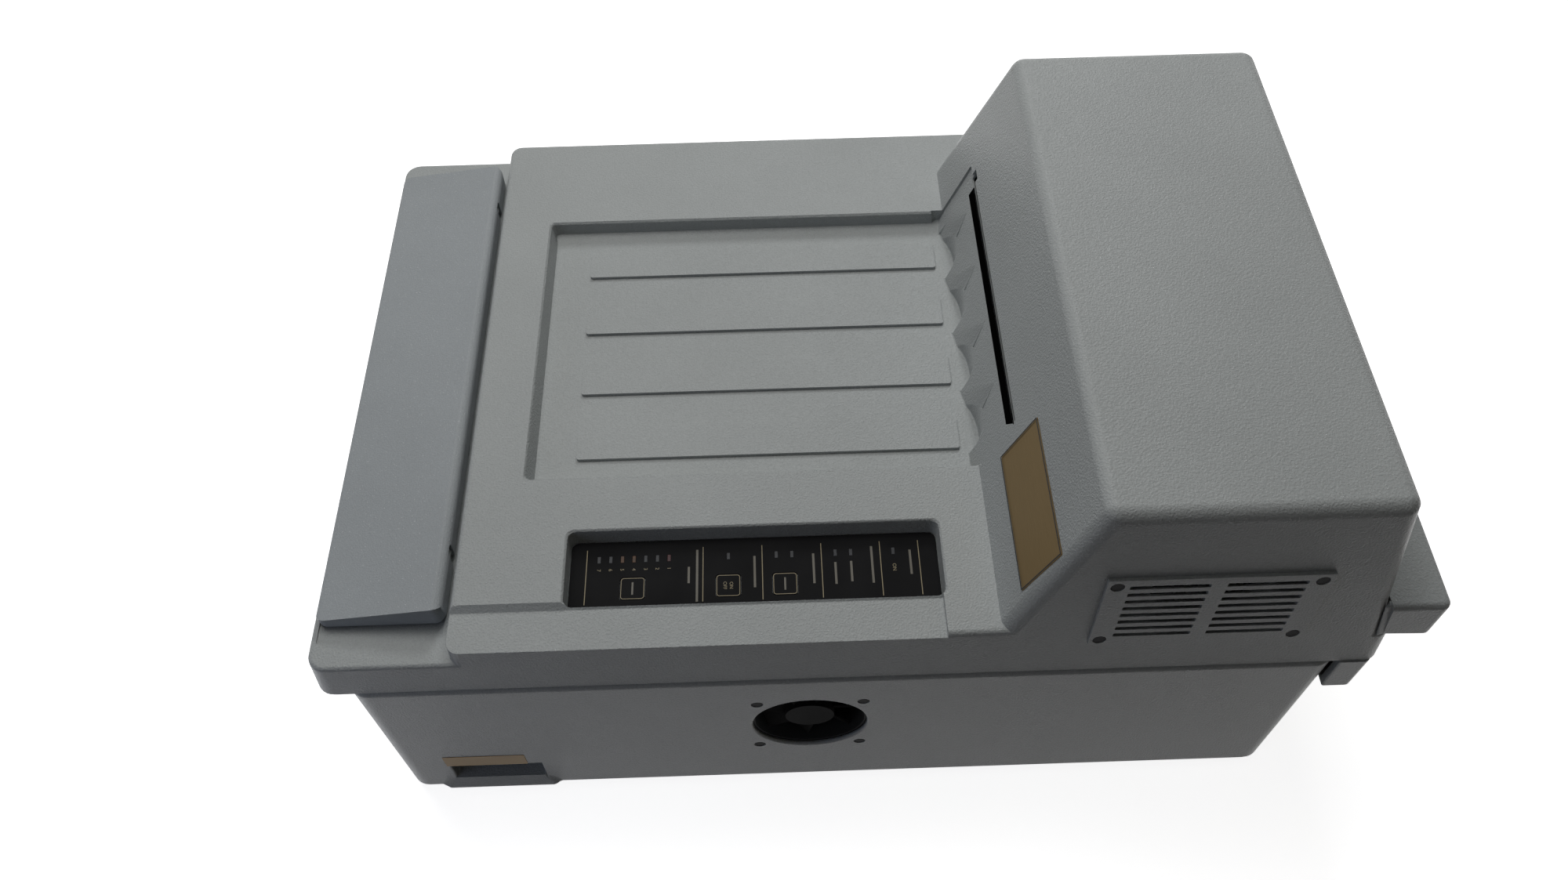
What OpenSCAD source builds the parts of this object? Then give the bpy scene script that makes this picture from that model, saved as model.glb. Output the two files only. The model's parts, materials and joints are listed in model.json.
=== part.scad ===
// Tabletop roller-transport film processor.
// Film is fed in under the lid at the left, passes the developer, fixer and wash racks and the
// dryer drum, and drops from the slot in the hump into the tray on top.
// +X runs from the feed end to the dryer end, +Y away from the control panel, +Z up.

/* [Cover] */
// Length of the top cover
cover_l = 690; // [680:1:700]
// Depth of the machine from the near wall to the far wall
body_w = 461; // [455:1:470]
// Height of the feed shelf above the seam
shelf_h = 32; // [28:1:34]
// Height of the deck above the seam
deck_h = 50; // [48:1:54]
// Height of the dryer hump above the seam
hump_h = 168; // [164:1:180]
// Length of the feed shelf, cover end to deck
shelf_l = 93.5; // [90:0.5:98]
// Distance from the cover's feed end to the foot of the hump's slope
slope_x = 438; // [434:1:442]
// Wall thickness of the mouldings
wall = 3.5; // [3:0.1:4]
// Radius of the long edges
edge_r = 4; // [2:0.5:6]
// Radius of the hump's edges
hump_r = 9; // [6:0.5:10]

/* [Tub] */
// Length of the tub
tub_l = 644; // [640:1:650]
// Distance the cover overhangs the tub at the feed end
lead_over = 19; // [16:1:22]
// Height of the tub
tub_h = 168; // [166:1:180]
// Height of the rubber feet
foot_h = 8; // [6:0.5:12]
// Distance the mains inlet's lip stands out
lip_out = 3; // [2:0.5:5]

/* [Receiving tray] */
// Depth of the tray and of the control recess
tray_d = 13.5; // [12:0.5:14]
// Length of the tray's mouth
tray_l = 302; // [290:1:304]
// Width of the tray's mouth
tray_w = 239.5; // [236:0.5:242]
// Distance from the near wall to the tray
tray_y = 130; // [128:0.5:132]
// Height of the ribs that hold the film off the tray
rib_h = 2.4; // [1.5:0.1:4]
// Distance between the ribs
rib_pitch = 56; // [50:0.5:58]

/* [Control recess] */
// Length of the recess
panel_l = 242.5; // [238:0.5:246]
// Width of the recess
panel_w = 53.5; // [50:0.5:56]
// Side of a key
key_w = 16; // [14:0.5:17]
// Distance between two lamps of the row of seven
led_pitch = 7.62; // [7:0.01:8]
// Travel of a key
key_travel = 0.5; // [0.3:0.1:0.8]

/* [Cooling fan] */
// Side of the fan's square frame
fan_w = 80; // [76:1:84]
// Distance between the fan's screws
fan_pitch = 71.5; // [70:0.1:72]
// Diameter of the opening in the wall
fan_hole_d = 79; // [70:0.5:80]
// Diameter of a black screw head
screw_head_d = 7.6; // [7:0.1:8]

/* [Transport] */
// Diameter of the film rollers
roller_d = 17.9; // [17:0.1:17.9]
// Diameter of a roller's journals
journal_d = 8; // [6:0.5:9]
// Width of the rollers' faces
face_w = 224; // [215:1:226]
// Distance between two tank compartments
tank_pitch = 122; // [120:1:124]
// Thickness of the racks' side plates
plate_t = 4; // [3:0.5:4.5]
// Module of the drive gears
gear_m = 2; // [2:0.01:2.02]
// Teeth of the driven gear on each lower roller
wheel_teeth = 16; // [16:1:16]
// Teeth of the idler gear of each rack
idler_teeth = 40; // [38:1:40]
// Teeth of the turn roller's gear, which also sets the roller's size
turn_teeth = 26; // [24:1:26]
// Teeth of the drum's gear
drum_teeth = 50; // [50:1:50]
// Diameter of the dryer drum
drum_d = 86; // [80:1:86]

/* [Hidden] */
$fn = 48;
e = 0.01;               // a cut runs this much past a face
run_gap = 0.05;         // radial clearance of a running fit
sheet_gap = 0.02;       // between sheets that only meet
body_gap = 0.3;         // clearance between pieces that move apart
off_white = "#d9dad7";
blue_white = "#d3d7d9";
black = "#17181a";
steel = "#b9bcbe";
dark_grey = "#4a4d50";
nylon = "#e9e6dc";
rubber = "#2a2b2c";

// Levels, from the table up
duct_out = 21;
seam_z = foot_h + tub_h;
shelf_z = seam_z + shelf_h;
deck_z = seam_z + deck_h;
step_h = 4;
strip_z = deck_z - step_h;
tray_z = deck_z - tray_d;
hump_z = seam_z + hump_h;

// Ends and walls
cover_x0 = -(cover_l + duct_out) / 2;
cover_x1 = cover_x0 + cover_l;
tub_x0 = cover_x0 + lead_over;
tub_x1 = tub_x0 + tub_l;
near_y = -(body_w - lip_out) / 2;
far_y = near_y + body_w;
skirt_in = 1.5;         // the cover's skirt stands in from the tub's wall
near_slope = 0.083;     // how far each wall leans in per unit of height
far_slope = 0.03;
hump_far_slope = 0.111;
hump_right_slope = 0.179;
slope_run = 0.379;      // run of the hump's slope per unit of height
deck_x0 = cover_x0 + shelf_l;
hump_far_y = near_y + 424.5;
hump_x1 = cover_x1 - 4.5;

function near_at(z) = near_y + skirt_in + near_slope * (z - seam_z);
function far_at(z) = far_y - skirt_in - far_slope * (z - seam_z);
function slope_at(z) = cover_x0 + slope_x + slope_run * (z - deck_z);
function hump_far_at(z) = hump_far_y - hump_far_slope * (z - seam_z);
function hump_right_at(z) = hump_x1 - hump_right_slope * (z - seam_z);
slope_len = sqrt(1 + slope_run * slope_run);
slope_deg = atan(1 / slope_run);

// Plan of the tray and the control recess
tray_x1 = slope_at(deck_z) - 4;
tray_x0 = tray_x1 - tray_l;
tray_y0 = near_y + tray_y;
tray_y1 = tray_y0 + tray_w;
film_y = (tray_y0 + tray_y1) / 2;
strip_w = 34;
panel_x0 = cover_x0 + 164;
panel_x1 = panel_x0 + panel_l;
panel_y0 = near_y + strip_w;
panel_y1 = panel_y0 + panel_w;
strip_x1 = panel_x1 - 2;
panel_t = 1.2;
panel_z = tray_z + panel_t;
key_y = panel_y0 + 17.5;
led_y = panel_y0 + 39;
key_xs = [panel_x0 + 42.5, panel_x0 + 104.3, panel_x0 + 141];
led_xs = concat([for (i = [0:6]) panel_x0 + 20 + i * led_pitch],
    [panel_x0 + 104.5, panel_x0 + 135.8, panel_x0 + 146, panel_x0 + 174.4,
     panel_x0 + 184.5, panel_x0 + 212.3]);

// Transport: the wheels, pinions and idlers share one gear module
gear_t = 6;
wheel_r = gear_m * wheel_teeth / 2;
idler_r = gear_m * idler_teeth / 2;
drum_gear_r = gear_m * drum_teeth / 2;
pair_teeth = 14;
pair_gap = 18.2;        // distance between the centres of two nip rollers
pair_m = pair_gap / pair_teeth;
worm_r = 7;
worm_e = 1;             // half the depth of the worm's thread
worm_gap = 0.9;
lower_z = seam_z - 1;
upper_z = lower_z + pair_gap;
nip_z = lower_z + pair_gap / 2;
shaft_z = lower_z - wheel_r - worm_r - worm_gap;
face_y0 = film_y - face_w / 2 - 0.5;
face_y1 = face_y0 + face_w;
plate_y0 = face_y0 - 1 - plate_t;   // outer face of the near side plates
plate_y1 = face_y1 + 1 + plate_t;   // outer face of the far side plates
pinion_y = plate_y0 - 1 - gear_t / 2;
tank_y0 = pinion_y - gear_t / 2 - 3;
tank_y1 = plate_y1 + 10;
tank_wall = 3;
wheel_y = tank_y0 - tank_wall - 5 - gear_t / 2;
pair_y = plate_y1 + 1.5;
pair_t = 5;
turn_d = roller_d * turn_teeth / wheel_teeth;
turn_r = gear_m * turn_teeth / 2;
exit_dx = 28;
idler_reach = wheel_r + idler_r;
turn_reach = idler_reach + idler_r + turn_r;
turn_drop = sqrt(turn_reach * turn_reach - exit_dx * exit_dx);
idler_dx = exit_dx * (1 - idler_reach / turn_reach);
idler_z = lower_z - turn_drop * idler_reach / turn_reach;
turn_z = lower_z - turn_drop;
rack_xs = [for (i = [0:2]) tub_x0 + 114.5 + i * tank_pitch];
rack_half = 46;
feed_x = rack_xs[0] - 76;
tank_in = tank_pitch - 4;
tank_z0 = foot_h + wall + 4;
tank_z1 = lower_z - journal_d / 2 - 4;
dryer_x = rack_xs[2] + 127;         // entry rollers of the dryer
drum_reach = wheel_r + drum_gear_r;
drum_rise = 52.5;
drum_z = lower_z + drum_rise;
drum_x = dryer_x + sqrt(drum_reach * drum_reach - drum_rise * drum_rise);
exit_z = drum_z + drum_z - lower_z - pair_gap;
exit_x = drum_x - sqrt(drum_reach * drum_reach - pow(exit_z - drum_z, 2));
slot_z = exit_z + pair_gap / 2;
slot_h = 6;
rack_top = shelf_z - wall - 1;

// Phases that put every gear in mesh at rest: an angle is that of a tooth from +X towards +Z
function meshed(theta, na, a0, nb) = theta + 180 - (0.5 - (theta - a0) * na / 360) * 360 / nb;
wheel_phase = -90;      // a tooth points straight down into the worm
idler_dir = atan2(-turn_drop, -exit_dx);
idler_phase = meshed(idler_dir, wheel_teeth, wheel_phase, idler_teeth);
turn_phase = meshed(idler_dir, idler_teeth, idler_phase, turn_teeth);
drum_dir = atan2(drum_z - lower_z, drum_x - dryer_x);
drum_phase = meshed(drum_dir, wheel_teeth, wheel_phase, drum_teeth);
exit_dir = atan2(exit_z - drum_z, exit_x - drum_x);
exit_phase = meshed(exit_dir, drum_teeth, drum_phase, wheel_teeth);
pair_phase = meshed(90, pair_teeth, 90, pair_teeth);

// Basic forms

// A block whose walls lean and whose top edges and upright corners are round. The plan is given
// at the height z0, and lean is [left, right, near, far] in units of run per unit of height.
module leaning_block(x0, x1, y0, y1, z0, z1, lean, plan_r, top_r) {
    steps = top_r > 0 ? [0, 22.5, 45, 67.5, 90] : [90];
    zc = z1 - top_r;
    function centre(wall_at, k, side, r_out, r_edge, z) =
        wall_at + side * (k * (z - z0) + r_out + r_edge * sqrt(1 + k * k));
    flat_r = plan_r - top_r;
    hull() {
        for (sx = [0, 1], sy = [0, 1]) {
            xb = centre(sx == 0 ? x0 : x1, lean[sx], sx == 0 ? 1 : -1, plan_r, 0, z0);
            yb = centre(sy == 0 ? y0 : y1, lean[2 + sy], sy == 0 ? 1 : -1, plan_r, 0, z0);
            translate([xb, yb, z0]) cylinder(r1 = plan_r, r2 = plan_r / 2, h = e, $fn = 32);
            xt = centre(sx == 0 ? x0 : x1, lean[sx], sx == 0 ? 1 : -1, flat_r, top_r, zc);
            yt = centre(sy == 0 ? y0 : y1, lean[2 + sy], sy == 0 ? 1 : -1, flat_r, top_r, zc);
            for (a = steps) {
                r = flat_r + top_r * cos(a);
                translate([xt, yt, zc + top_r * sin(a) - e])
                    cylinder(r1 = r / 2, r2 = r, h = e, $fn = 32);
            }
        }
    }
}

// A plan outline with round corners
module round_rect(w, d, r) {
    square([w - 2 * r, d], center = true);
    square([w, d - 2 * r], center = true);
    for (sx = [-1, 1], sy = [-1, 1])
        translate([sx * (w / 2 - r), sy * (d / 2 - r)]) circle(r = r);
}

module round_slab(x0, x1, y0, y1, z0, z1, r) {
    translate([(x0 + x1) / 2, (y0 + y1) / 2, z0])
        linear_extrude(z1 - z0) round_rect(x1 - x0, y1 - y0, r);
}

module box(x0, x1, y0, y1, z0, z1) {
    translate([x0, y0, z0]) cube([x1 - x0, y1 - y0, z1 - z0]);
}

// A cylinder along Y from y0 to y1
module rod_y(x, z, d, y0, y1) {
    translate([x, y1, z]) rotate([90, 0, 0]) cylinder(d = d, h = y1 - y0);
}

// A cylinder along X from x0 to x1
module rod_x(y, z, d, x0, x1) {
    translate([x0, y, z]) rotate([0, 90, 0]) cylinder(d = d, h = x1 - x0);
}

// Extrudes an outline drawn in X and Z along Y
module profile_y(y0, y1) {
    translate([0, y1, 0]) rotate([90, 0, 0]) linear_extrude(y1 - y0) children();
}

// Extrudes an outline drawn in Y and Z along X
module profile_x(x0, x1) {
    translate([x0, 0, 0]) rotate([90, 0, 90]) linear_extrude(x1 - x0) children();
}

// Involute spur gear profile
pressure = 20;
function inv_deg(a) = tan(a) * 180 / PI - a;
function tooth_half(rho, r, n, play) =
    90 / n - play / (2 * r) * 180 / PI + inv_deg(pressure)
    - inv_deg(acos(min(1, r * cos(pressure) / rho)));
function polar(r, a) = [r * cos(a), r * sin(a)];
function gear_points(n, m, play) =
    let (r = n * m / 2, root = r - 1.15 * m, tip = r + 0.88 * m,
         rb = max(r * cos(pressure), root + 0.05), mid = (rb + tip) / 2)
    [for (i = [0:n - 1])
        let (a = i * 360 / n)
        for (p = [[root, -tooth_half(rb, r, n, play)], [rb, -tooth_half(rb, r, n, play)],
                  [mid, -tooth_half(mid, r, n, play)], [tip, -tooth_half(tip, r, n, play)],
                  [tip, tooth_half(tip, r, n, play)], [mid, tooth_half(mid, r, n, play)],
                  [rb, tooth_half(rb, r, n, play)], [root, tooth_half(rb, r, n, play)]])
            polar(p[0], a + p[1])];

module gear(x, z, n, m, phase, y, w) {
    translate([x, y + w / 2, z]) rotate([90, 0, 0])
        linear_extrude(w) rotate(phase) polygon(gear_points(n, m, 0.16 * m));
}

// Base

rim_w = 3;
rim_h = 5;
tub_r = 14;
module tub_outer() {
    leaning_block(tub_x0, tub_x1, near_y, far_y, foot_h, seam_z, [0, 0, 0, 0], tub_r, edge_r);
}

fan_x = tub_x0 + 300.5;
fan_z = foot_h + 96;
inlet_x0 = tub_x0 + 38;
inlet_x1 = inlet_x0 + 66;
inlet_z0 = foot_h + 14;
inlet_z1 = foot_h + 37;
inlet_d = 30;
spigot_z = foot_h + 24;
spigot_ys = [-60, 0, 60];
spigot_r = 6.5;
spigot_l = 18;
spigot_collar = 3;     // thickness of the nut outside the wall
water_y = 160;
water_r = 13.2;
duct_z0 = seam_z - 36.5;

module base_tub() color(off_white) difference() {
    union() {
        difference() {
            tub_outer();
            round_slab(tub_x0 + wall, tub_x1 - wall, near_y + wall, far_y - wall,
                foot_h + wall, seam_z - rim_h, tub_r - wall);
            // The rim that carries the cover turns inwards
            round_slab(tub_x0 + wall + rim_w, tub_x1 - wall - rim_w, near_y + wall + rim_w,
                far_y - wall - rim_w, seam_z - rim_h - 1, seam_z + 1, tub_r - wall - rim_w);
        }
        // Pocket that holds the mains inlet back from the wall
        box(inlet_x0 - wall, inlet_x1 + wall, near_y + wall / 2, near_y + inlet_d + wall,
            foot_h + wall / 2, inlet_z1 + wall);
        // Lip under the pocket, blended into the wall at both ends
        hull() {
            box(inlet_x0, inlet_x1, near_y, near_y + 1, foot_h, inlet_z0 + 1);
            box(inlet_x0 - 14, inlet_x1 + 9, near_y, near_y + 1, foot_h, foot_h + 2);
            box(inlet_x0 - 8, inlet_x1 + 5, near_y - lip_out, near_y, foot_h, foot_h + 1.5);
        }
        // Bosses that the tank block stands on
        for (x = [rack_xs[0], rack_xs[1], rack_xs[2]], y = [film_y - 90, film_y + 90])
            translate([x, y, foot_h + wall / 2]) cylinder(r = 8, h = tank_z0 - foot_h - wall / 2);
    }
    // Pocket of the mains inlet, with a floor that slopes to the lip
    hull() {
        box(inlet_x0, inlet_x1, near_y + 2, near_y + inlet_d, inlet_z0 + 2, inlet_z1);
        box(inlet_x0, inlet_x1, near_y - 1, near_y + 2, inlet_z0, inlet_z1);
    }
    // Fan opening and its screw holes
    rod_y(fan_x, fan_z, fan_hole_d, near_y - 1, near_y + wall + 1);
    for (sx = [-1, 1], sz = [-1, 1]) {
        rod_y(fan_x + sx * fan_pitch / 2, fan_z + sz * fan_pitch / 2, 4.5,
            near_y - 1, near_y + wall + 1);
        rod_y(fan_x + sx * fan_pitch / 2, fan_z + sz * fan_pitch / 2, screw_head_d + 0.8,
            near_y - 1, near_y + 1.8);
    }
    // Outlets of the tanks and the water inlet
    for (y = spigot_ys)
        rod_x(y, spigot_z, 2 * (spigot_r + run_gap), tub_x1 - wall - 1, tub_x1 + 1);
    rod_x(water_y, spigot_z, 2 * (water_r + run_gap), tub_x1 - wall - 1, tub_x1 + 1);
    // Cable way into the service duct
    box(tub_x1 - wall - 1, tub_x1 + 1, -30, 30, duct_z0 + 8, duct_z0 + 24);
}

module rubber_feet() color(rubber)
    for (x = [tub_x0 + 45, tub_x1 - 45], y = [near_y + 45, far_y - 45])
        translate([x, y, 0]) rotate_extrude() {
            polygon([[3, 2], [3, 0], [13, 0], [14.5, 1.5], [15, foot_h], [0, foot_h], [0, 2]]);
        }

module service_duct() color(off_white) difference() {
    leaning_block(tub_x1 - 6, tub_x1 + duct_out, near_y + 0.5, far_y - 40,
            duct_z0, seam_z, [0, 0, 0, 0], 5, 0);
    box(tub_x1 - 8, tub_x1, near_y - 1, far_y, duct_z0 - 1, seam_z + 1);
    box(tub_x1, tub_x1 + duct_out - wall, near_y + wall + 3, far_y - 40 - wall,
        duct_z0 + wall, seam_z - wall);
}

module mains_inlet() color(black) {
    yb = near_y + inlet_d;
    zc = (inlet_z0 + inlet_z1) / 2 + 1;
    difference() {
        union() {
            round_slab_y(inlet_x0 + 8, inlet_x0 + 58, zc - 9, zc + 9, yb - 3, yb, 3);
            round_slab_y(inlet_x0 + 19, inlet_x0 + 47, zc - 8, zc + 8, yb - 12, yb - 3, 3);
        }
        round_slab_y(inlet_x0 + 21, inlet_x0 + 45, zc - 6, zc + 6, yb - 13, yb - 2, 2);
    }
    for (dx = [-7, 0, 7])
        box(inlet_x0 + 32 + dx, inlet_x0 + 34 + dx, yb - 10, yb - 2, zc - 2, zc + 2);
}

// A slab with round corners in X and Z, from y0 to y1
module round_slab_y(x0, x1, z0, z1, y0, y1, r) {
    translate([(x0 + x1) / 2, y1, (z0 + z1) / 2]) rotate([90, 0, 0])
        linear_extrude(y1 - y0) round_rect(x1 - x0, z1 - z0, r);
}

module tank_block() color("#c9c6bc") difference() {
    x0 = rack_xs[0] - tank_pitch / 2;
    x1 = rack_xs[2] + tank_pitch / 2;
    round_slab(x0 - 1, x1 + 1, tank_y0 - tank_wall, tank_y1 + tank_wall, tank_z0, tank_z1, 6);
    for (x = rack_xs)
        round_slab(x - tank_in / 2, x + tank_in / 2, tank_y0, tank_y1,
            tank_z0 + tank_wall, tank_z1 + 1, 4);
    // Outlets to the two circulation pumps
    for (x = [rack_xs[0], rack_xs[1]])
        rod_y(x, tank_z0 + 12, 10, tank_y1 - 1, tank_y1 + tank_wall + 1);
}

// Racks: side plates, tie rods, turnaround shoe and film vanes
module rack_plate(x, y0, y1, feed_end) {
    difference() {
        profile_y(y0, y1) {
            translate([x - rack_half, turn_z - 24]) square([2 * rack_half, rack_top - turn_z + 24]);
            // Shoulders that hang the rack on the walls of its compartment
            translate([x - tank_in / 2 - 1.7, tank_z1]) square([tank_in + 3.4, 9]);
            if (feed_end)
                translate([feed_x - 13, tank_z1 + 2])
                    square([x - feed_x, rack_top - 2 - tank_z1]);
        }
        // Windows that let the solution through
        for (z = [turn_z + 34, turn_z + 64])
            round_slab_y(x - rack_half + 8, x - 20, z, z + 22, y0 - 1, y1 + 1, 5);
        rod_y(x, turn_z, journal_d + 2 * run_gap, y0 - 1, y1 + 1);
        for (dx = feed_end ? [exit_dx, feed_x - x] : [exit_dx])
            for (z = [lower_z, upper_z])
                rod_y(x + dx, z, journal_d + 2 * run_gap, y0 - 1, y1 + 1);
    }
}

module rack(x, feed_end) color(dark_grey) {
    y0 = plate_y0 + plate_t;
    y1 = plate_y1 - plate_t;
    shoe_r = turn_d / 2 + 3;
    rack_plate(x, plate_y0, y0, feed_end);
    rack_plate(x, y1, plate_y1, feed_end);
    // Pin that the idler gear turns on, with a collar behind the gear
    rod_y(x + idler_dx, idler_z, journal_d, pinion_y - gear_t / 2 - body_gap, plate_y0 + e);
    rod_y(x + idler_dx, idler_z, journal_d + 4, pinion_y + gear_t / 2 + body_gap, plate_y0 + e);
    // Tie rods
    for (p = [[x - rack_half + 8, turn_z - 14], [x + rack_half - 8, turn_z - 14],
              [x - rack_half + 8, rack_top - 7]])
        rod_y(p[0], p[1], 9, y0 - e, y1 + e);
    // Curved shoe that turns the film round the lower roller
    translate([x, y1 + e, turn_z]) rotate([90, 0, 0])
        rotate([0, 0, 180]) rotate_extrude_arc(shoe_r, shoe_r + 2, y1 - y0 + 2 * e, 180);
    // Vanes that lead the film down and up
    box(x - shoe_r - 2, x - shoe_r, y0 - e, y1 + e, turn_z, tank_z1);
    box(x + shoe_r, x + shoe_r + 2, y0 - e, y1 + e, turn_z, lower_z - 14);
    // Crossover guide that bends the film over from the exit rollers before this rack
    translate([x - shoe_r - 2 - 14, y1 + e, nip_z - 14]) rotate([90, 0, 0])
        rotate_extrude_arc(16, 18, y1 - y0 + 2 * e, 90);
}

// A curved strip: part of a tube of h, from r0 to r1, that spans the angle from +X
module rotate_extrude_arc(r0, r1, h, span) {
    rotate_extrude(angle = span) translate([r0, 0]) square([r1 - r0, h]);
}

module developer_rack() rack(rack_xs[0], true);
module fixer_rack() rack(rack_xs[1], false);
module wash_rack() rack(rack_xs[2], false);

dryer_top = exit_z + pair_gap + 18;
module dryer_plate(y0, y1) {
    difference() {
        profile_y(y0, y1)
            polygon([[dryer_x - 38, foot_h + wall], [dryer_x - 38, lower_z + 60],
                     [exit_x - 14, exit_z + 4], [exit_x - 10, dryer_top],
                     [drum_x + 72, dryer_top], [drum_x + 72, foot_h + wall]]);
        // Lightening window below the rollers
        round_slab_y(dryer_x - 22, drum_x + 56, foot_h + wall + 16, lower_z - 26,
            y0 - 1, y1 + 1, 10);
        for (p = [[dryer_x, lower_z], [dryer_x, upper_z], [drum_x, drum_z],
                  [exit_x, exit_z], [exit_x, exit_z + pair_gap]])
            rod_y(p[0], p[1], journal_d + 2 * run_gap, y0 - 1, y1 + 1);
    }
}

module dryer_frame() color(steel) {
    y0 = plate_y0 + plate_t;
    y1 = plate_y1 - plate_t;
    ya = y0 + sheet_gap;
    yb = y1 - sheet_gap;
    guide_r = drum_d / 2 + 6;
    dryer_plate(plate_y0, y0);
    dryer_plate(y1, plate_y1);
    for (p = [[dryer_x - 28, foot_h + 30], [drum_x + 62, foot_h + 30],
              [drum_x + 62, dryer_top - 12]])
        rod_y(p[0], p[1], 9, ya, yb);
    // Guides into the entry rollers
    for (dz = [-3.5, 1.5])
        box(dryer_x - 70, dryer_x - 11, ya, yb, nip_z + dz, nip_z + dz + 2);
    // Rods that hold the film on the drum, with gaps for the air
    for (a = [-66:22:66])
        rod_y(drum_x + guide_r * cos(a), drum_z + guide_r * sin(a), 6, ya, yb);
    // Guides from the exit rollers to the slot
    for (dz = [-4, 2])
        box(exit_x - 27, exit_x - 11, ya, yb, slot_z + dz, slot_z + dz + 2);
}

bearing_xs = [feed_x - 22, rack_xs[0] + 2, rack_xs[1] + 2, rack_xs[2] + 2, dryer_x - 26];
shaft_d = 8;
shaft_y = wheel_y;
module shaft_bearings() color(nylon) {
    for (x = bearing_xs) difference() {
        union() {
            box(x - 6, x + 6, shaft_y - 8, tank_y0 - tank_wall, shaft_z - 9, shaft_z + 9);
            if (x < rack_xs[0] - tank_pitch / 2 || x > rack_xs[2] + tank_pitch / 2)
                box(x - 6, x + 6, shaft_y - 8, shaft_y + 8, foot_h + wall, shaft_z - 9);
        }
        rod_x(shaft_y, shaft_z, shaft_d + 2 * run_gap, x - 7, x + 7);
    }
}

motor_x0 = drum_x + 12;
module drive_motor() color(dark_grey) {
    // Gearbox with its output bore, and the round motor behind it
    difference() {
        box(motor_x0, motor_x0 + 26, shaft_y - 37, shaft_y + 11, shaft_z - 27, shaft_z + 27);
        rod_x(shaft_y, shaft_z, shaft_d + 2 * run_gap, motor_x0 - 1, motor_x0 + 18);
    }
    rod_x(shaft_y - 13, shaft_z, 46, motor_x0 + 26, motor_x0 + 72);
    // Bracket down to the floor of the tub
    box(motor_x0 + 2, motor_x0 + 6, shaft_y - 37, shaft_y + 11, foot_h + wall, shaft_z - 27);
    box(motor_x0 + 2, motor_x0 + 42, shaft_y - 37, shaft_y + 11, foot_h + wall, foot_h + wall + 3);
}

fan_t = 25;
fan_y0 = near_y + wall;
fan_bore = fan_w - 4;
module fan_frame() color(black) {
    difference() {
        round_slab_y(fan_x - fan_w / 2, fan_x + fan_w / 2, fan_z - fan_w / 2, fan_z + fan_w / 2,
            fan_y0, fan_y0 + fan_t, 5);
        rod_y(fan_x, fan_z, fan_bore, fan_y0 - 1, fan_y0 + fan_t + 1);
        for (sx = [-1, 1], sz = [-1, 1])
            rod_y(fan_x + sx * fan_pitch / 2, fan_z + sz * fan_pitch / 2, 4.5,
                fan_y0 - 1, fan_y0 + fan_t + 1);
    }
    // Motor cup on four struts at the back, with the pin that the rotor turns on
    rod_y(fan_x, fan_z, 34, fan_y0 + fan_t - 4, fan_y0 + fan_t);
    rod_y(fan_x, fan_z, 4, fan_y0 + 4, fan_y0 + fan_t - 3);
    for (a = [20:90:290])
        translate([fan_x, fan_y0 + fan_t, fan_z]) rotate([90, 0, 0]) rotate([0, 0, a])
            translate([15, -2, 0]) cube([fan_bore / 2 - 14, 4, 3]);
}

module fan_rotor() color(black) {
    hub_d = 34;
    y0 = fan_y0 + 2.5;
    y1 = fan_y0 + fan_t - 5;
    difference() {
        rod_y(fan_x, fan_z, hub_d, y0, y1);
        rod_y(fan_x, fan_z, 4 + 2 * run_gap, y0 + 1.2, y1 + 1);
    }
    // Seven blades, each a slab turned about its own radius
    for (i = [0:6])
        translate([fan_x, (y0 + y1) / 2, fan_z]) rotate([0, i * 360 / 7, 0])
            intersection() {
                translate([hub_d / 2 - 1, 0, 0]) rotate([38, 0, 0])
                    translate([0, -0.8, -10]) cube([fan_bore / 2 - 1 - hub_d / 2, 1.6, 20]);
                rod_y(0, 0, fan_bore - 2, -8, 8);
            }
}

module fan_screws() color(black)
    for (sx = [-1, 1], sz = [-1, 1]) {
        x = fan_x + sx * fan_pitch / 2;
        z = fan_z + sz * fan_pitch / 2;
        rod_y(x, z, screw_head_d, near_y + 0.4, near_y + 1.8);
        rod_y(x, z, 4, near_y + 1.8 - e, near_y + wall + 20);
    }

module power_supply() color("#6d6f72") {
    x0 = drum_x - 60;
    y0 = near_y + wall + 14;
    z0 = foot_h + wall;
    // Laminated core round the winding, on a foot plate
    difference() {
        box(x0, x0 + 78, y0, y0 + 40, z0 + 3, z0 + 68);
        for (dx = [11, 51]) box(x0 + dx, x0 + dx + 16, y0 - 1, y0 + 41, z0 + 14, z0 + 57);
    }
    round_slab(x0 + 12, x0 + 66, y0 - 9, y0 + 49, z0 + 15, z0 + 56, 6);
    box(x0 - 8, x0 + 86, y0, y0 + 40, z0, z0 + 3);
}

module power_board() color("#2f5a3c") {
    x0 = fan_x - 190;
    y0 = near_y + wall + 18;
    z0 = foot_h + wall;
    box(x0, x0 + 130, y0, y0 + 62, z0 + 10, z0 + 11.6);
    for (x = [x0 + 6, x0 + 124], y = [y0 + 6, y0 + 56])
        translate([x, y, z0]) cylinder(d = 6, h = 10 + e);
    for (i = [0:3]) box(x0 + 14 + i * 20, x0 + 29 + i * 20, y0 + 12, y0 + 40, z0 + 11.6 - e, z0 + 27);
    box(x0 + 14, x0 + 104, y0 + 46, y0 + 54, z0 + 11.6 - e, z0 + 22);
    translate([x0 + 112, y0 + 30, z0 + 11.6 - e]) cylinder(d = 18, h = 26);
}

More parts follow.
